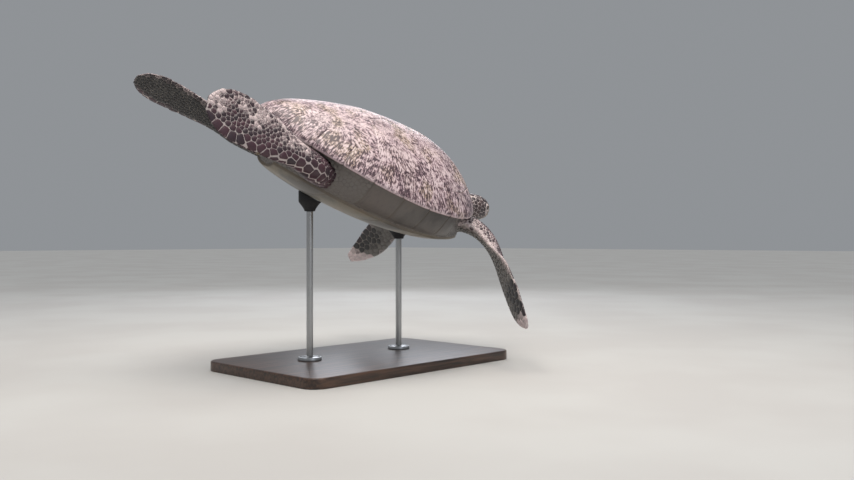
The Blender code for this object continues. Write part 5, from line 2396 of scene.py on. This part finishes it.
class Finish:
    """A material, which each finish makes with nodes of its own."""

    name: str

    def shade(self, tree: Tree, place: Socket) -> Node:
        """Lays the finish's nodes.

        Args:
            tree: the material's node tree.
            place: the place on the object, in metres.

        Returns:
            The shader that they end in.
        """
        raise NotImplementedError

    def build(self) -> bpy.types.Material:
        """Makes the material."""
        material = bpy.data.materials.new(self.name)
        material.use_nodes = True
        tree = material.node_tree
        tree.nodes.clear()
        place = add_node(tree, "TexCoord").outputs["Object"]
        add_node(tree, "OutputMaterial", None, {"Surface": self.shade(tree, place)})
        return material


class GrownHorn(Finish):
    """Horn that has grown outwards from its middle, ring by ring."""

    growth_mm: float

    def relief(self, tree: Tree, edge: Socket, grainy: Node, fade: tuple[float, float, float], strength: float) -> Node:
        """The bump of its growth rings, which fade towards the plate's middle.

        Args:
            tree: the material's node tree.
            edge: how far each place is from the plate's seam.
            grainy: the fine grain between the rings.
            fade: how far in the rings fade, their height at the seam and their height inside.
            strength: the bump's strength.

        Returns:
            The bump.
        """
        turns = add_node(tree, "Math", {"operation": "MULTIPLY", 1: 2000 * math.pi / self.growth_mm}, {0: edge})
        rings = add_node(tree, "Math", {"operation": "SINE"}, {0: turns})
        near = add_node(tree, "MapRange", {"From Max": fade[0], "To Min": fade[1], "To Max": fade[2]}, {"Value": edge})
        growth = add_node(tree, "Math", {"operation": "MULTIPLY"}, {0: rings, 1: near})
        height = add_node(tree, "Math", {"operation": "ADD"}, {0: growth, 1: grainy})
        return add_node(tree, "Bump", {"Strength": strength, "Distance": 0.0006}, {"Height": height})


@dataclass(frozen=True)
class ShellHorn(GrownHorn):
    """Keratin of the carapace: translucent tan horn with dark rays. To the eye it is a mottled, satin surface."""

    name: str = "carapace_keratin_rayed"
    tan: str = "#9C8484"
    rose: str = "#B3979F"
    straw: str = "#BEA68C"
    light: str = "#E4D0D2"
    ray: str = "#3D2733"
    rust: str = "#7D565C"
    # Painted highlight: a pale band along the marginals' lip.
    margin: str = "#D6C0C2"
    # Painted shade: the marginals' underside in a dark brown, and a dark red-brown line just under the lip.
    beneath: str = "#5E4C45"
    lip_shade: str = "#5A2F2B"
    ray_width_mm: float = 4.2
    ray_cover: float = 0.525
    growth_mm: float = 3.2
    roughness: float = 0.44

    def shade(self, tree: Tree, place: Socket) -> Node:
        """Rays and flecks along the grain on a patchy ground, with a painted highlight along the marginals' lip,
        painted shade beneath them and dark seams.

        Args:
            tree: the node tree.
            place: the place to read the patterns at.

        Returns:
            The shader node.
        """
        grain = add_node(tree, "Attribute", {"attribute_name": "grain"}).outputs["Vector"]
        edge, rim, under = (
            add_node(tree, "Attribute", {"attribute_name": word}).outputs["Fac"] for word in ("edge", "rim", "under")
        )
        patch = add_node(tree, "TexNoise", {"Scale": 13.0, "Detail": 3.0}, {"Vector": place})
        blotch = add_node(tree, "TexNoise", {"Scale": 26.0, "Detail": 2.0}, {"Vector": place})
        breaks = add_node(tree, "TexNoise", {"Scale": 95.0, "Detail": 3.0, "Roughness": 0.6}, {"Vector": place})
        streaky = {"Scale": 1000 / self.ray_width_mm, "Detail": 4.0, "Roughness": 0.62, "Distortion": 0.5}
        rays = add_node(tree, "TexNoise", streaky, {"Vector": grain})
        finer = {"Scale": 2600 / self.ray_width_mm, "Detail": 3.0, "Roughness": 0.6}
        fine = add_node(tree, "TexNoise", finer, {"Vector": grain})

        stops = ((0.36, self.tan), (0.50, self.rose), (0.66, self.straw))
        ground = add_node(tree, "ValToRGB", {"stops": stops}, {"Fac": patch})
        rusty = add_node(tree, "ValToRGB", {"stops": ((0.50, 0.0), (0.66, 0.75))}, {"Fac": fine})
        warm = add_node(tree, "Mix", {"data_type": "RGBA", 7: self.rust}, {0: rusty, 6: ground})
        lean = add_node(tree, "Math", {"operation": "MULTIPLY_ADD", 1: 0.34, 2: -0.17}, {0: blotch})
        gaps = add_node(tree, "Math", {"operation": "MULTIPLY_ADD", 1: 0.50, 2: -0.25}, {0: breaks})
        leaning = add_node(tree, "Math", {"operation": "ADD"}, {0: gaps, 1: lean})
        shifted = add_node(tree, "Math", {"operation": "ADD"}, {0: rays, 1: leaning})
        low = 1 - self.ray_cover
        bright = add_node(tree, "ValToRGB", {"stops": ((low - 0.05, 0.88), (low + 0.03, 0.0))}, {"Fac": shifted})
        flecked = add_node(tree, "Mix", {"data_type": "RGBA", 7: self.light}, {0: bright, 6: warm})
        mask = add_node(tree, "ValToRGB", {"stops": ((low + 0.03, 0.0), (low + 0.10, 0.95))}, {"Fac": shifted})
        rayed = add_node(tree, "Mix", {"data_type": "RGBA", 7: self.ray}, {0: mask, 6: flecked})

        # Painted highlight: the marginals' lip is mixed towards a pale colour.
        pale = add_node(tree, "Math", {"operation": "MULTIPLY", 1: 0.75}, {0: rim})
        lip_lit = add_node(tree, "Mix", {"data_type": "RGBA", 7: self.margin}, {0: pale, 6: rayed})
        seam = add_node(tree, "MapRange", {"From Max": 0.0018, "To Min": 0.35, "To Max": 0.0}, {"Value": edge})
        seamed = add_node(tree, "Mix", {"data_type": "RGBA", 7: self.ray}, {0: seam, 6: lip_lit})
        # Painted shade: the marginals' underside turns dark brown, with a dark red-brown line just under the lip.
        lower = add_node(tree, "ValToRGB", {"stops": ((0.0, 0.0), (0.55, 0.0), (0.72, 1.0))}, {"Fac": under})
        below = add_node(tree, "Mix", {"data_type": "RGBA", 7: self.beneath}, {0: lower, 6: seamed})
        stops = ((0.42, 0.0), (0.52, 0.85), (0.66, 0.85), (0.80, 0.0))
        line = add_node(tree, "ValToRGB", {"stops": stops}, {"Fac": under})
        colour = add_node(tree, "Mix", {"data_type": "RGBA", 7: self.lip_shade}, {0: line, 6: below})

        bump = self.relief(tree, edge, fine, (0.035, 0.5, 0.06), 0.35)
        satin = {"To Min": self.roughness - 0.08, "To Max": self.roughness + 0.14}
        gloss = add_node(tree, "MapRange", satin, {"Value": fine})
        return add_node(tree, "BsdfPrincipled", {"IOR": 1.54, "Coat Weight": 0.10, "Coat Roughness": 0.25},
                        {"Base Color": colour, "Roughness": gloss, "Normal": bump})


@dataclass(frozen=True)
class BellyHorn(GrownHorn):
    """Keratin of the plastron: plain cream horn, painted darker grey as shade, worn smooth, with growth lines and grey
    smudges.
    """

    name: str = "plastron_keratin_cream"
    # Painted shade: these greys are darker than the plastron's real cream, as it lies in shade.
    cream: str = "#827C70"
    warm: str = "#8B7E6C"
    smudge: str = "#625E5A"
    seam: str = "#5E5142"
    growth_mm: float = 4.0

    def shade(self, tree: Tree, place: Socket) -> Node:
        """Smudges and faint streaks over cream painted darker as shade, with darker seams.

        Args:
            tree: the node tree.
            place: the place to read the patterns at.

        Returns:
            The shader node.
        """
        grain = add_node(tree, "Attribute", {"attribute_name": "grain"}).outputs["Vector"]
        edge = add_node(tree, "Attribute", {"attribute_name": "edge"}).outputs["Fac"]
        patch = add_node(tree, "TexNoise", {"Scale": 9.0, "Detail": 4.0}, {"Vector": place})
        rays = add_node(tree, "TexNoise", {"Scale": 110.0, "Detail": 4.0, "Roughness": 0.6}, {"Vector": grain})
        stops = ((0.38, self.smudge), (0.50, self.cream), (0.66, self.warm))
        ground = add_node(tree, "ValToRGB", {"stops": stops}, {"Fac": patch})
        veil = add_node(tree, "ValToRGB", {"stops": ((0.50, 0.0), (0.72, 0.45))}, {"Fac": rays})
        veiled = add_node(tree, "Mix", {"data_type": "RGBA", 7: self.smudge}, {0: veil, 6: ground})
        near = add_node(tree, "MapRange", {"From Max": 0.003, "To Min": 0.6, "To Max": 0.0}, {"Value": edge})
        colour = add_node(tree, "Mix", {"data_type": "RGBA", 7: self.seam}, {0: near, 6: veiled})
        bump = self.relief(tree, edge, rays, (0.04, 0.6, 0.08), 0.3)
        worn = {"IOR": 1.54, "Roughness": 0.48, "Coat Weight": 0.06, "Coat Roughness": 0.3}
        return add_node(tree, "BsdfPrincipled", worn, {"Base Color": colour, "Normal": bump})


@dataclass(frozen=True)
class TurtleHide(Finish):
    """Leathery skin between the scales: matt, finely creased, pale above and grey-cream beneath, where the grey is
    painted shade.
    """

    name: str = "turtle_hide_creased"
    above: str = "#D2C6C3"
    tinted: str = "#75605F"
    # Painted shade: the skin beneath, the flank included, takes these darker greys.
    beneath: str = "#69655F"
    shadow: str = "#504D4B"
    edging: str = "#9B968F"
    # Painted shade: a near-black line along the slit of the mouth.
    mouth: str = "#2A1D1C"
    crease_mm: float = 2.2

    def shade(self, tree: Tree, place: Socket) -> Node:
        """Pale above, grey beneath as painted shade, paler again round dark scales, with specks and pebbles.

        Args:
            tree: the node tree.
            place: the place to read the patterns at.

        Returns:
            The shader node.
        """
        dark, under, gape = (
            add_node(tree, "Attribute", {"attribute_name": word}).outputs["Fac"] for word in ("dark", "under", "gape")
        )
        patch = add_node(tree, "TexNoise", {"Scale": 16.0, "Detail": 4.0}, {"Vector": place})
        pebbly = {"feature": "DISTANCE_TO_EDGE", "Scale": 1000 / (2 * self.crease_mm)}
        cells = add_node(tree, "TexVoronoi", pebbly, {"Vector": place})
        creases = add_node(tree, "TexNoise", {"Scale": 1000 / self.crease_mm, "Detail": 3.0}, {"Vector": place})
        belly = add_node(tree, "ValToRGB", {"stops": ((0.40, self.shadow), (0.58, self.beneath))}, {"Fac": patch})
        some = add_node(tree, "Math", {"operation": "MULTIPLY", 1: 0.20}, {0: dark})
        back = add_node(tree, "Mix", {"data_type": "RGBA", 6: self.above, 7: self.tinted}, {0: some})
        half = add_node(tree, "Math", {"operation": "MULTIPLY", 1: 0.45}, {0: dark})
        lower = add_node(tree, "Mix", {"data_type": "RGBA", 7: self.edging}, {0: half, 6: belly})
        # Painted shade: where the skin counts as beneath, it takes the darker greys.
        both = add_node(tree, "Mix", {"data_type": "RGBA"}, {0: under, 6: back, 7: lower})
        speck = add_node(tree, "ValToRGB", {"stops": ((0.56, 0.0), (0.68, 0.30))}, {"Fac": creases})
        specked = add_node(tree, "Mix", {"data_type": "RGBA", 7: self.tinted}, {0: speck, 6: both})
        # Painted shade: the mouth's slit is painted near-black.
        colour = add_node(tree, "Mix", {"data_type": "RGBA", 7: self.mouth}, {0: gape, 6: specked})
        pebbles = add_node(tree, "MapRange", {"From Max": 0.25}, {"Value": cells})
        relief = add_node(tree, "Math", {"operation": "ADD"}, {0: pebbles, 1: creases})
        bump = add_node(tree, "Bump", {"Strength": 0.5, "Distance": 0.0007}, {"Height": relief})
        matt = {"IOR": 1.45, "Roughness": 0.58}
        return add_node(tree, "BsdfPrincipled", matt, {"Base Color": colour, "Normal": bump})


@dataclass(frozen=True)
class ScaleHorn(Finish):
    """Horny scales of the limbs or the head: dark maroon, paler at the rim of each, with a satin shine, and darker
    copies of their colours beneath as painted shade.
    """

    name: str = "scale_keratin_maroon"
    dark: str = "#2F1F28"
    brown: str = "#4B2A35"
    pale: str = "#CBB9B9"
    # Painted shade: darker copies of the pale and dark colours, for the underside.
    pale_shaded_below: str = "#6B6763"
    dark_shaded_below: str = "#222022"

    def shade(self, tree: Tree, place: Socket) -> Node:
        """Each scale dark or pale by its marking and its own tone, with worn mottles; beneath, darker copies of the
        colours paint shade.

        Args:
            tree: the node tree.
            place: the place to read the patterns at.

        Returns:
            The shader node.
        """
        dark, tone, rim, under = (
            add_node(tree, "Attribute", {"attribute_name": word}).outputs["Fac"]
            for word in ("dark", "tone", "rim", "under")
        )
        mottle = add_node(tree, "TexNoise", {"Scale": 240.0, "Detail": 4.0, "Roughness": 0.6}, {"Vector": place})
        own = add_node(tree, "Math", {"operation": "MULTIPLY_ADD", 1: 0.40, 2: -0.20}, {0: tone})
        speck = add_node(tree, "Math", {"operation": "MULTIPLY_ADD", 1: 0.9, 2: -0.45}, {0: mottle})
        first = add_node(tree, "Math", {"operation": "ADD"}, {0: dark, 1: own})
        second = add_node(tree, "Math", {"operation": "ADD"}, {0: first, 1: speck})
        worn = add_node(tree, "Math", {"operation": "MULTIPLY_ADD", 1: -0.16}, {0: rim, 2: second})
        cover = add_node(tree, "ValToRGB", {"stops": ((0.34, 0.0), (0.60, 1.0))}, {"Fac": worn})
        deep = add_node(tree, "Mix", {"data_type": "RGBA", 6: self.brown, 7: self.dark}, {0: tone})
        above = add_node(tree, "Mix", {"data_type": "RGBA", 6: self.pale}, {0: cover, 7: deep})
        # Painted shade: beneath, the scales take the darker copies of their colours.
        below = add_node(tree, "Mix", {"data_type": "RGBA", 6: self.pale_shaded_below, 7: self.dark_shaded_below}, {0: cover})
        colour = add_node(tree, "Mix", {"data_type": "RGBA"}, {0: under, 6: above, 7: below})
        bump = add_node(tree, "Bump", {"Strength": 0.25, "Distance": 0.0004}, {"Height": mottle})
        gloss = add_node(tree, "MapRange", {"To Min": 0.36, "To Max": 0.56}, {"Value": mottle})
        return add_node(tree, "BsdfPrincipled", {"IOR": 1.54, "Coat Weight": 0.08, "Coat Roughness": 0.3},
                        {"Base Color": colour, "Roughness": gloss, "Normal": bump})


@dataclass(frozen=True)
class BeakHorn(Finish):
    """Solid horn of the beak and the claws: amber brown, streaked along its growth and polished by wear."""

    name: str = "beak_horn_polished"
    amber: str = "#8C7C62"
    brown: str = "#46382B"
    rim: str = "#AD9F84"

    def shade(self, tree: Tree, place: Socket) -> Node:
        """Upright streaks, and a paler cutting edge.

        Args:
            tree: the node tree.
            place: the place to read the patterns at.

        Returns:
            The shader node.
        """
        lip = add_node(tree, "Attribute", {"attribute_name": "lip"}).outputs["Fac"]
        upright = add_node(tree, "Mapping", {"Scale": (1.0, 1.0, 0.22)}, {"Vector": place})
        streaks = add_node(tree, "TexNoise", {"Scale": 420.0, "Detail": 4.0}, {"Vector": upright})
        patch = add_node(tree, "TexNoise", {"Scale": 60.0, "Detail": 3.0}, {"Vector": place})
        total = add_node(tree, "Math", {"operation": "ADD"}, {0: streaks, 1: patch})
        half = add_node(tree, "Math", {"operation": "MULTIPLY", 1: 0.5}, {0: total})
        ground = add_node(tree, "ValToRGB", {"stops": ((0.38, self.brown), (0.58, self.amber))}, {"Fac": half})
        some = add_node(tree, "Math", {"operation": "MULTIPLY", 1: 0.6}, {0: lip})
        colour = add_node(tree, "Mix", {"data_type": "RGBA", 7: self.rim}, {0: some, 6: ground})
        bump = add_node(tree, "Bump", {"Strength": 0.25, "Distance": 0.0003}, {"Height": streaks})
        polish = {"IOR": 1.54, "Roughness": 0.34, "Coat Weight": 0.15, "Coat Roughness": 0.2}
        return add_node(tree, "BsdfPrincipled", polish, {"Base Color": colour, "Normal": bump})


@dataclass(frozen=True)
class EyeGlass(Finish):
    """A museum glass eye: black pupil, dark brown iris with gold flecks, under a clear polished cornea."""

    name: str = "eye_glass_brown"
    iris: str = "#3B2415"
    gold: str = "#7A5526"
    dark: str = "#0B0807"

    def shade(self, tree: Tree, place: Socket) -> Node:
        """Pupil, iris and dark outer ring, by the angle from the pupil's middle.

        Args:
            tree: the node tree.
            place: the place to read the patterns at.

        Returns:
            The shader node.
        """
        open_ = add_node(tree, "Attribute", {"attribute_name": "open"}).outputs["Fac"]
        flecks = add_node(tree, "TexNoise", {"Scale": 900.0, "Detail": 2.0}, {"Vector": place})
        gilt = add_node(tree, "ValToRGB", {"stops": ((0.48, self.iris), (0.70, self.gold))}, {"Fac": flecks})
        pupil = add_node(tree, "MapRange", {"From Min": 0.21, "From Max": 0.25}, {"Value": open_})
        inner = add_node(tree, "Mix", {"data_type": "RGBA", 6: self.dark}, {0: pupil, 7: gilt})
        ring = add_node(tree, "MapRange", {"From Min": 0.46, "From Max": 0.56}, {"Value": open_})
        colour = add_node(tree, "Mix", {"data_type": "RGBA", 7: self.dark}, {0: ring, 6: inner})
        polish = {"IOR": 1.5, "Roughness": 0.12, "Coat Weight": 1.0, "Coat Roughness": 0.02}
        return add_node(tree, "BsdfPrincipled", polish, {"Base Color": colour})


@dataclass(frozen=True)
class StainedWood(Finish):
    """Walnut-stained ash with a satin lacquer: long dark grain lines with open pores."""

    name: str = "wood_walnut_stain_satin"
    light: str = "#5B4030"
    dark: str = "#2B1C14"
    grain_mm: float = 9.0

    def shade(self, tree: Tree, place: Socket) -> Node:
        """Figure and pores, drawn out along the board.

        Args:
            tree: the node tree.
            place: the place to read the patterns at.

        Returns:
            The shader node.
        """
        along = add_node(tree, "Mapping", {"Scale": (1.0, 0.06, 1.0)}, {"Vector": place})
        wavy = {"Scale": 1000 / self.grain_mm, "Detail": 5.0, "Distortion": 0.6}
        figure = add_node(tree, "TexNoise", wavy, {"Vector": along})
        pores = add_node(tree, "TexNoise", {"Scale": 900.0, "Detail": 2.0}, {"Vector": along})
        ground = add_node(tree, "ValToRGB", {"stops": ((0.36, self.dark), (0.64, self.light))}, {"Fac": figure})
        open_ = add_node(tree, "ValToRGB", {"stops": ((0.60, 0.0), (0.70, 0.6))}, {"Fac": pores})
        colour = add_node(tree, "Mix", {"data_type": "RGBA", 7: self.dark}, {0: open_, 6: ground})
        bump = add_node(tree, "Bump", {"Strength": 0.15, "Distance": 0.0003, "invert": True}, {"Height": pores})
        lacquer = {"IOR": 1.5, "Roughness": 0.42, "Coat Weight": 0.3, "Coat Roughness": 0.28}
        return add_node(tree, "BsdfPrincipled", lacquer, {"Base Color": colour, "Normal": bump})


@dataclass(frozen=True)
class BrushedSteel(Finish):
    """Stainless steel, brushed round the bar: fine lines that stretch the highlights."""

    name: str = "stainless_steel_brushed"
    colour: str = "#B4B5B6"
    line_mm: float = 0.6  # coarser than real brushing, so that it shows

    def shade(self, tree: Tree, place: Socket) -> Node:
        """Lines round the bar, in the gloss and in the relief.

        Args:
            tree: the node tree.
            place: the place to read the patterns at.

        Returns:
            The shader node.
        """
        round_ = add_node(tree, "Mapping", {"Scale": (0.05, 0.05, 1.0)}, {"Vector": place})
        lines = add_node(tree, "TexNoise", {"Scale": 1000 / self.line_mm, "Detail": 2.0}, {"Vector": round_})
        gloss = add_node(tree, "MapRange", {"To Min": 0.22, "To Max": 0.40}, {"Value": lines})
        bump = add_node(tree, "Bump", {"Strength": 0.08, "Distance": 0.0002}, {"Height": lines})
        return add_node(tree, "BsdfPrincipled", {"Base Color": self.colour, "Metallic": 1.0},
                        {"Roughness": gloss, "Normal": bump})


@dataclass(frozen=True)
class Rubber(Finish):
    """Moulded black rubber: matt, with a faint bloom and a fine pebble."""

    name: str = "rubber_black_moulded"
    black: str = "#17171A"
    bloom: str = "#2B2B2E"

    def shade(self, tree: Tree, place: Socket) -> Node:
        """Bloom on the tops of the pebbles.

        Args:
            tree: the node tree.
            place: the place to read the patterns at.

        Returns:
            The shader node.
        """
        pebble = add_node(tree, "TexNoise", {"Scale": 700.0, "Detail": 3.0}, {"Vector": place})
        colour = add_node(tree, "ValToRGB", {"stops": ((0.4, self.black), (0.7, self.bloom))}, {"Fac": pebble})
        bump = add_node(tree, "Bump", {"Strength": 0.3, "Distance": 0.0003}, {"Height": pebble})
        matt = {"IOR": 1.52, "Roughness": 0.78}
        return add_node(tree, "BsdfPrincipled", matt, {"Base Color": colour, "Normal": bump})


@dataclass(frozen=True)
class StudioFloor(Finish):
    """Pale matt studio board, with the faintest unevenness."""

    name: str = "studio_board_matt"
    light: str = "#C9C8C5"
    deep: str = "#C4C2BF"

    def shade(self, tree: Tree, place: Socket) -> Node:
        """Two pale tones, cloudily.

        Args:
            tree: the node tree.
            place: the place to read the patterns at.

        Returns:
            The shader node.
        """
        cloud = add_node(tree, "TexNoise", {"Scale": 1.5, "Detail": 3.0}, {"Vector": place})
        colour = add_node(tree, "ValToRGB", {"stops": ((0.4, self.deep), (0.6, self.light))}, {"Fac": cloud})
        return add_node(tree, "BsdfPrincipled", {"Roughness": 0.85, "Specular IOR Level": 0.0}, {"Base Color": colour})


# ---------------------------------------------------------------- studio
@dataclass(frozen=True)
class Studio:
    """The camera, a plain pale floor and soft light from above."""

    eye: tuple[float, float, float] = (-1.987, 1.817, 0.392)
    lens: float = 35.83

    def camera(self) -> None:
        """A level camera behind and to the right of the animal."""
        data = bpy.data.cameras.new("camera")
        data.lens, data.sensor_width = self.lens, 36.0
        camera = bpy.data.objects.new("camera", data)
        right = Vector((-0.7262, -0.6874, 0)).normalized()
        back = Vector((right.y, -right.x, 0))
        turn = Matrix((right, (0, 0, 1), back)).transposed()
        camera.matrix_world = Matrix.Translation(self.eye) @ turn.to_4x4()
        bpy.context.scene.collection.objects.link(camera)
        bpy.context.scene.camera = camera

    def light(self, name: str, place: tuple, aim: tuple, size: float, power: float, colour: str) -> None:
        """A square area light at a place, aimed at another.

        Args:
            name: the light's name.
            place: where it hangs.
            aim: what it points at.
            size: the length of its side.
            power: its power in watts.
            colour: its colour as an sRGB hex value.
        """
        data = bpy.data.lights.new(name, "AREA")
        data.energy, data.size, data.color = power, size, paint(colour)[:3]
        lamp = bpy.data.objects.new(name, data)
        lamp.location = place
        lamp.rotation_mode = "QUATERNION"
        lamp.rotation_quaternion = (Vector(aim) - Vector(place)).to_track_quat("-Z", "Y")
        bpy.context.scene.collection.objects.link(lamp)

    def build(self) -> None:
        """Sets up the studio."""
        self.camera()
        deselect_all()
        bpy.ops.mesh.primitive_plane_add(size=60, location=(0, 0, 0))
        floor = bpy.context.object
        floor.name = "studio_floor"
        floor.data.materials.append(StudioFloor().build())
        self.light("key_above", (-0.5, 0.3, 3.0), (0, 0, 0.5), 1.8, 66, "#FFF6EC")
        self.light("fill_behind", (-3.6, 0.6, 1.6), (0, 0, 0.5), 2.2, 10, "#EAF2FF")
        self.light("edge_ahead", (2.4, -2.6, 2.1), (0, 0, 0.5), 1.8, 30, "#F2F6FF")
        even = bpy.data.lights.new("even_overhead", "SUN")
        even.energy, even.angle = 1.05, math.radians(80)
        bpy.context.scene.collection.objects.link(bpy.data.objects.new("even_overhead", even))
        world = bpy.data.worlds.new("studio_air")
        bpy.context.scene.world = world
        world.use_nodes = True
        world.node_tree.nodes["Background"].inputs["Color"].default_value = paint("#E9EEF4")
        world.node_tree.nodes["Background"].inputs["Strength"].default_value = 0.34
        bpy.context.scene.view_settings.view_transform = "Standard"


# ---------------------------------------------------------------- assembly
FLESH = (
    "trunk", "neck", "tail", "head", "lower_jaw", "front_arm_left", "front_arm_right", "front_flipper_left",
    "front_flipper_right", "rear_leg_left", "rear_leg_right", "rear_flipper_left", "rear_flipper_right",
)


def dress(obj: Piece, material: bpy.types.Material) -> None:
    """Gives a finished piece its material and its slot, and lets it ride on the part.

    Args:
        obj: the piece.
        material: its material.
    """
    obj.data.materials.clear()
    obj.data.materials.append(material)
    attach(obj, "root")


def build_skin(face: Face) -> Skin:
    """The skin with the lids and nostrils joined to it, marked and dressed.

    Args:
        face: the lids and nostrils to join to it.

    Returns:
        The finished skin.
    """
    skin = Skin()
    obj = skin.build()
    marks = skin.markings()
    set_attribute(obj.data, "dark", marks.dark)
    set_attribute(obj.data, "under", marks.under)
    set_attribute(obj.data, "gape", skin.gape)
    skin.thin()
    extras = []
    for name, (points, faces) in (
        ("lids_left", face.lids(Side.LEFT)), ("lids_right", face.lids(Side.RIGHT)), ("nostrils", face.nostrils()),
    ):
        count = len(points)
        values = {"dark": np.full(count, 0.85), "under": np.zeros(count), "gape": np.zeros(count)}
        extras.append(solid(name, POSE.place(HEAD.place(points)), faces, 60, values))
    obj = join("turtle_skin", [obj, *extras])
    obj.data.attributes.remove(obj.data.attributes["part"])
    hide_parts(*FLESH)
    dress(obj, TurtleHide().build())
    return skin


def build_coats(skin: Skin) -> None:
    """Scales over every stretch of skin that has them.

    Args:
        skin: the skin they grow on.
    """
    scaling = Scaling(skin)
    maroon = ScaleHorn().build()
    # The last two colours are darker copies for beneath: painted shade.
    head_horn = ScaleHorn("head_keratin_brown", "#32272B", "#4E3C3C", "#C6BCBA", "#8F897F", "#45403E").build()

    bridge = Bridge()
    plates = bridge.build()
    # Painted shade: the bridge plates take dark greys, as the flank lies in shade.
    dress(plates, BellyHorn("bridge_keratin_grey", "#65605C", "#6C645F", "#524F4D").build())
    covered = KDTree(len(plates.data.vertices))
    for i, p in enumerate(POSE.unplace(mesh_points(plates.data))):
        covered.insert(p, i)
    covered.balance()

    def bare_flank(points: Array) -> Array:
        """Tells which places of the flank lie clear of the bridge plates."""
        return flank_places(points) & np.array([covered.find(p)[2] > 0.0065 for p in points])

    limb, paddle = ScaleStyle(border=0.0020), ScaleStyle(0.0013, 0.0013, 0.35, 0.10)
    plans = (
        ("scales_front_right", Part.FRONT_RIGHT, limb, clear_of_shell),
        ("scales_front_left", Part.FRONT_LEFT, limb, clear_of_shell),
        ("scales_rear_right", Part.REAR_RIGHT, paddle, clear_of_shell),
        ("scales_rear_left", Part.REAR_LEFT, paddle, clear_of_shell),
        ("scales_flank", Part.TRUNK, ScaleStyle(0.0005, 0.0016, 0.2), bare_flank),
        ("scales_neck", Part.NECK, ScaleStyle(0.0008, 0.0018), None),
        ("scales_tail", Part.TAIL, ScaleStyle(0.0008, 0.0014), clear_of_shell),
    )
    for number, (name, part, style, keep) in enumerate(plans):
        coat = Coat(skin, style, 100 + number)
        coat.cover(scaling.seeds(part, keep, 40 + number))
        dress(coat.finish(name), maroon)
    coat = Coat(skin, ScaleStyle(0.0010, 0.0013, 0.5, 0.2), 90)
    coat.cover(head_seeds(scaling))
    dress(coat.finish("scales_head"), head_horn)


def main() -> None:
    """Builds the display model piece by piece."""
    studio = Studio()
    studio.build()
    face = Face()
    skin = build_skin(face)
    build_coats(skin)
    shell_horn = ShellHorn().build()
    rim_horn = ShellHorn("marginal_keratin_rayed", ray_cover=0.555).build()
    carapace = Carapace()
    for obj in carapace.build_plates():
        dress(obj, shell_horn)
    for obj in carapace.build_rim():
        dress(obj, rim_horn)
    belly_horn = BellyHorn().build()
    for obj in Plastron().build():
        dress(obj, belly_horn)
    glass, beak_horn = EyeGlass().build(), BeakHorn().build()
    for side in Side:
        dress(face.eye(side), glass)
    for upper in (True, False):
        dress(face.beak(upper), beak_horn)
    for limb in LIMBS:
        dress(Claw(limb).build(), beak_horn)
    stand = Stand()
    dress(stand.base(), StainedWood().build())
    steel, rubber = BrushedSteel().build(), Rubber().build()
    for word, s in zip(("front", "rear"), stand.rods):
        made = stand.support(word, s)
        dress(made["flange"], steel)
        dress(made["rod"], steel)
        dress(made["pad"], rubber)


if __name__ == "__main__":
    main()
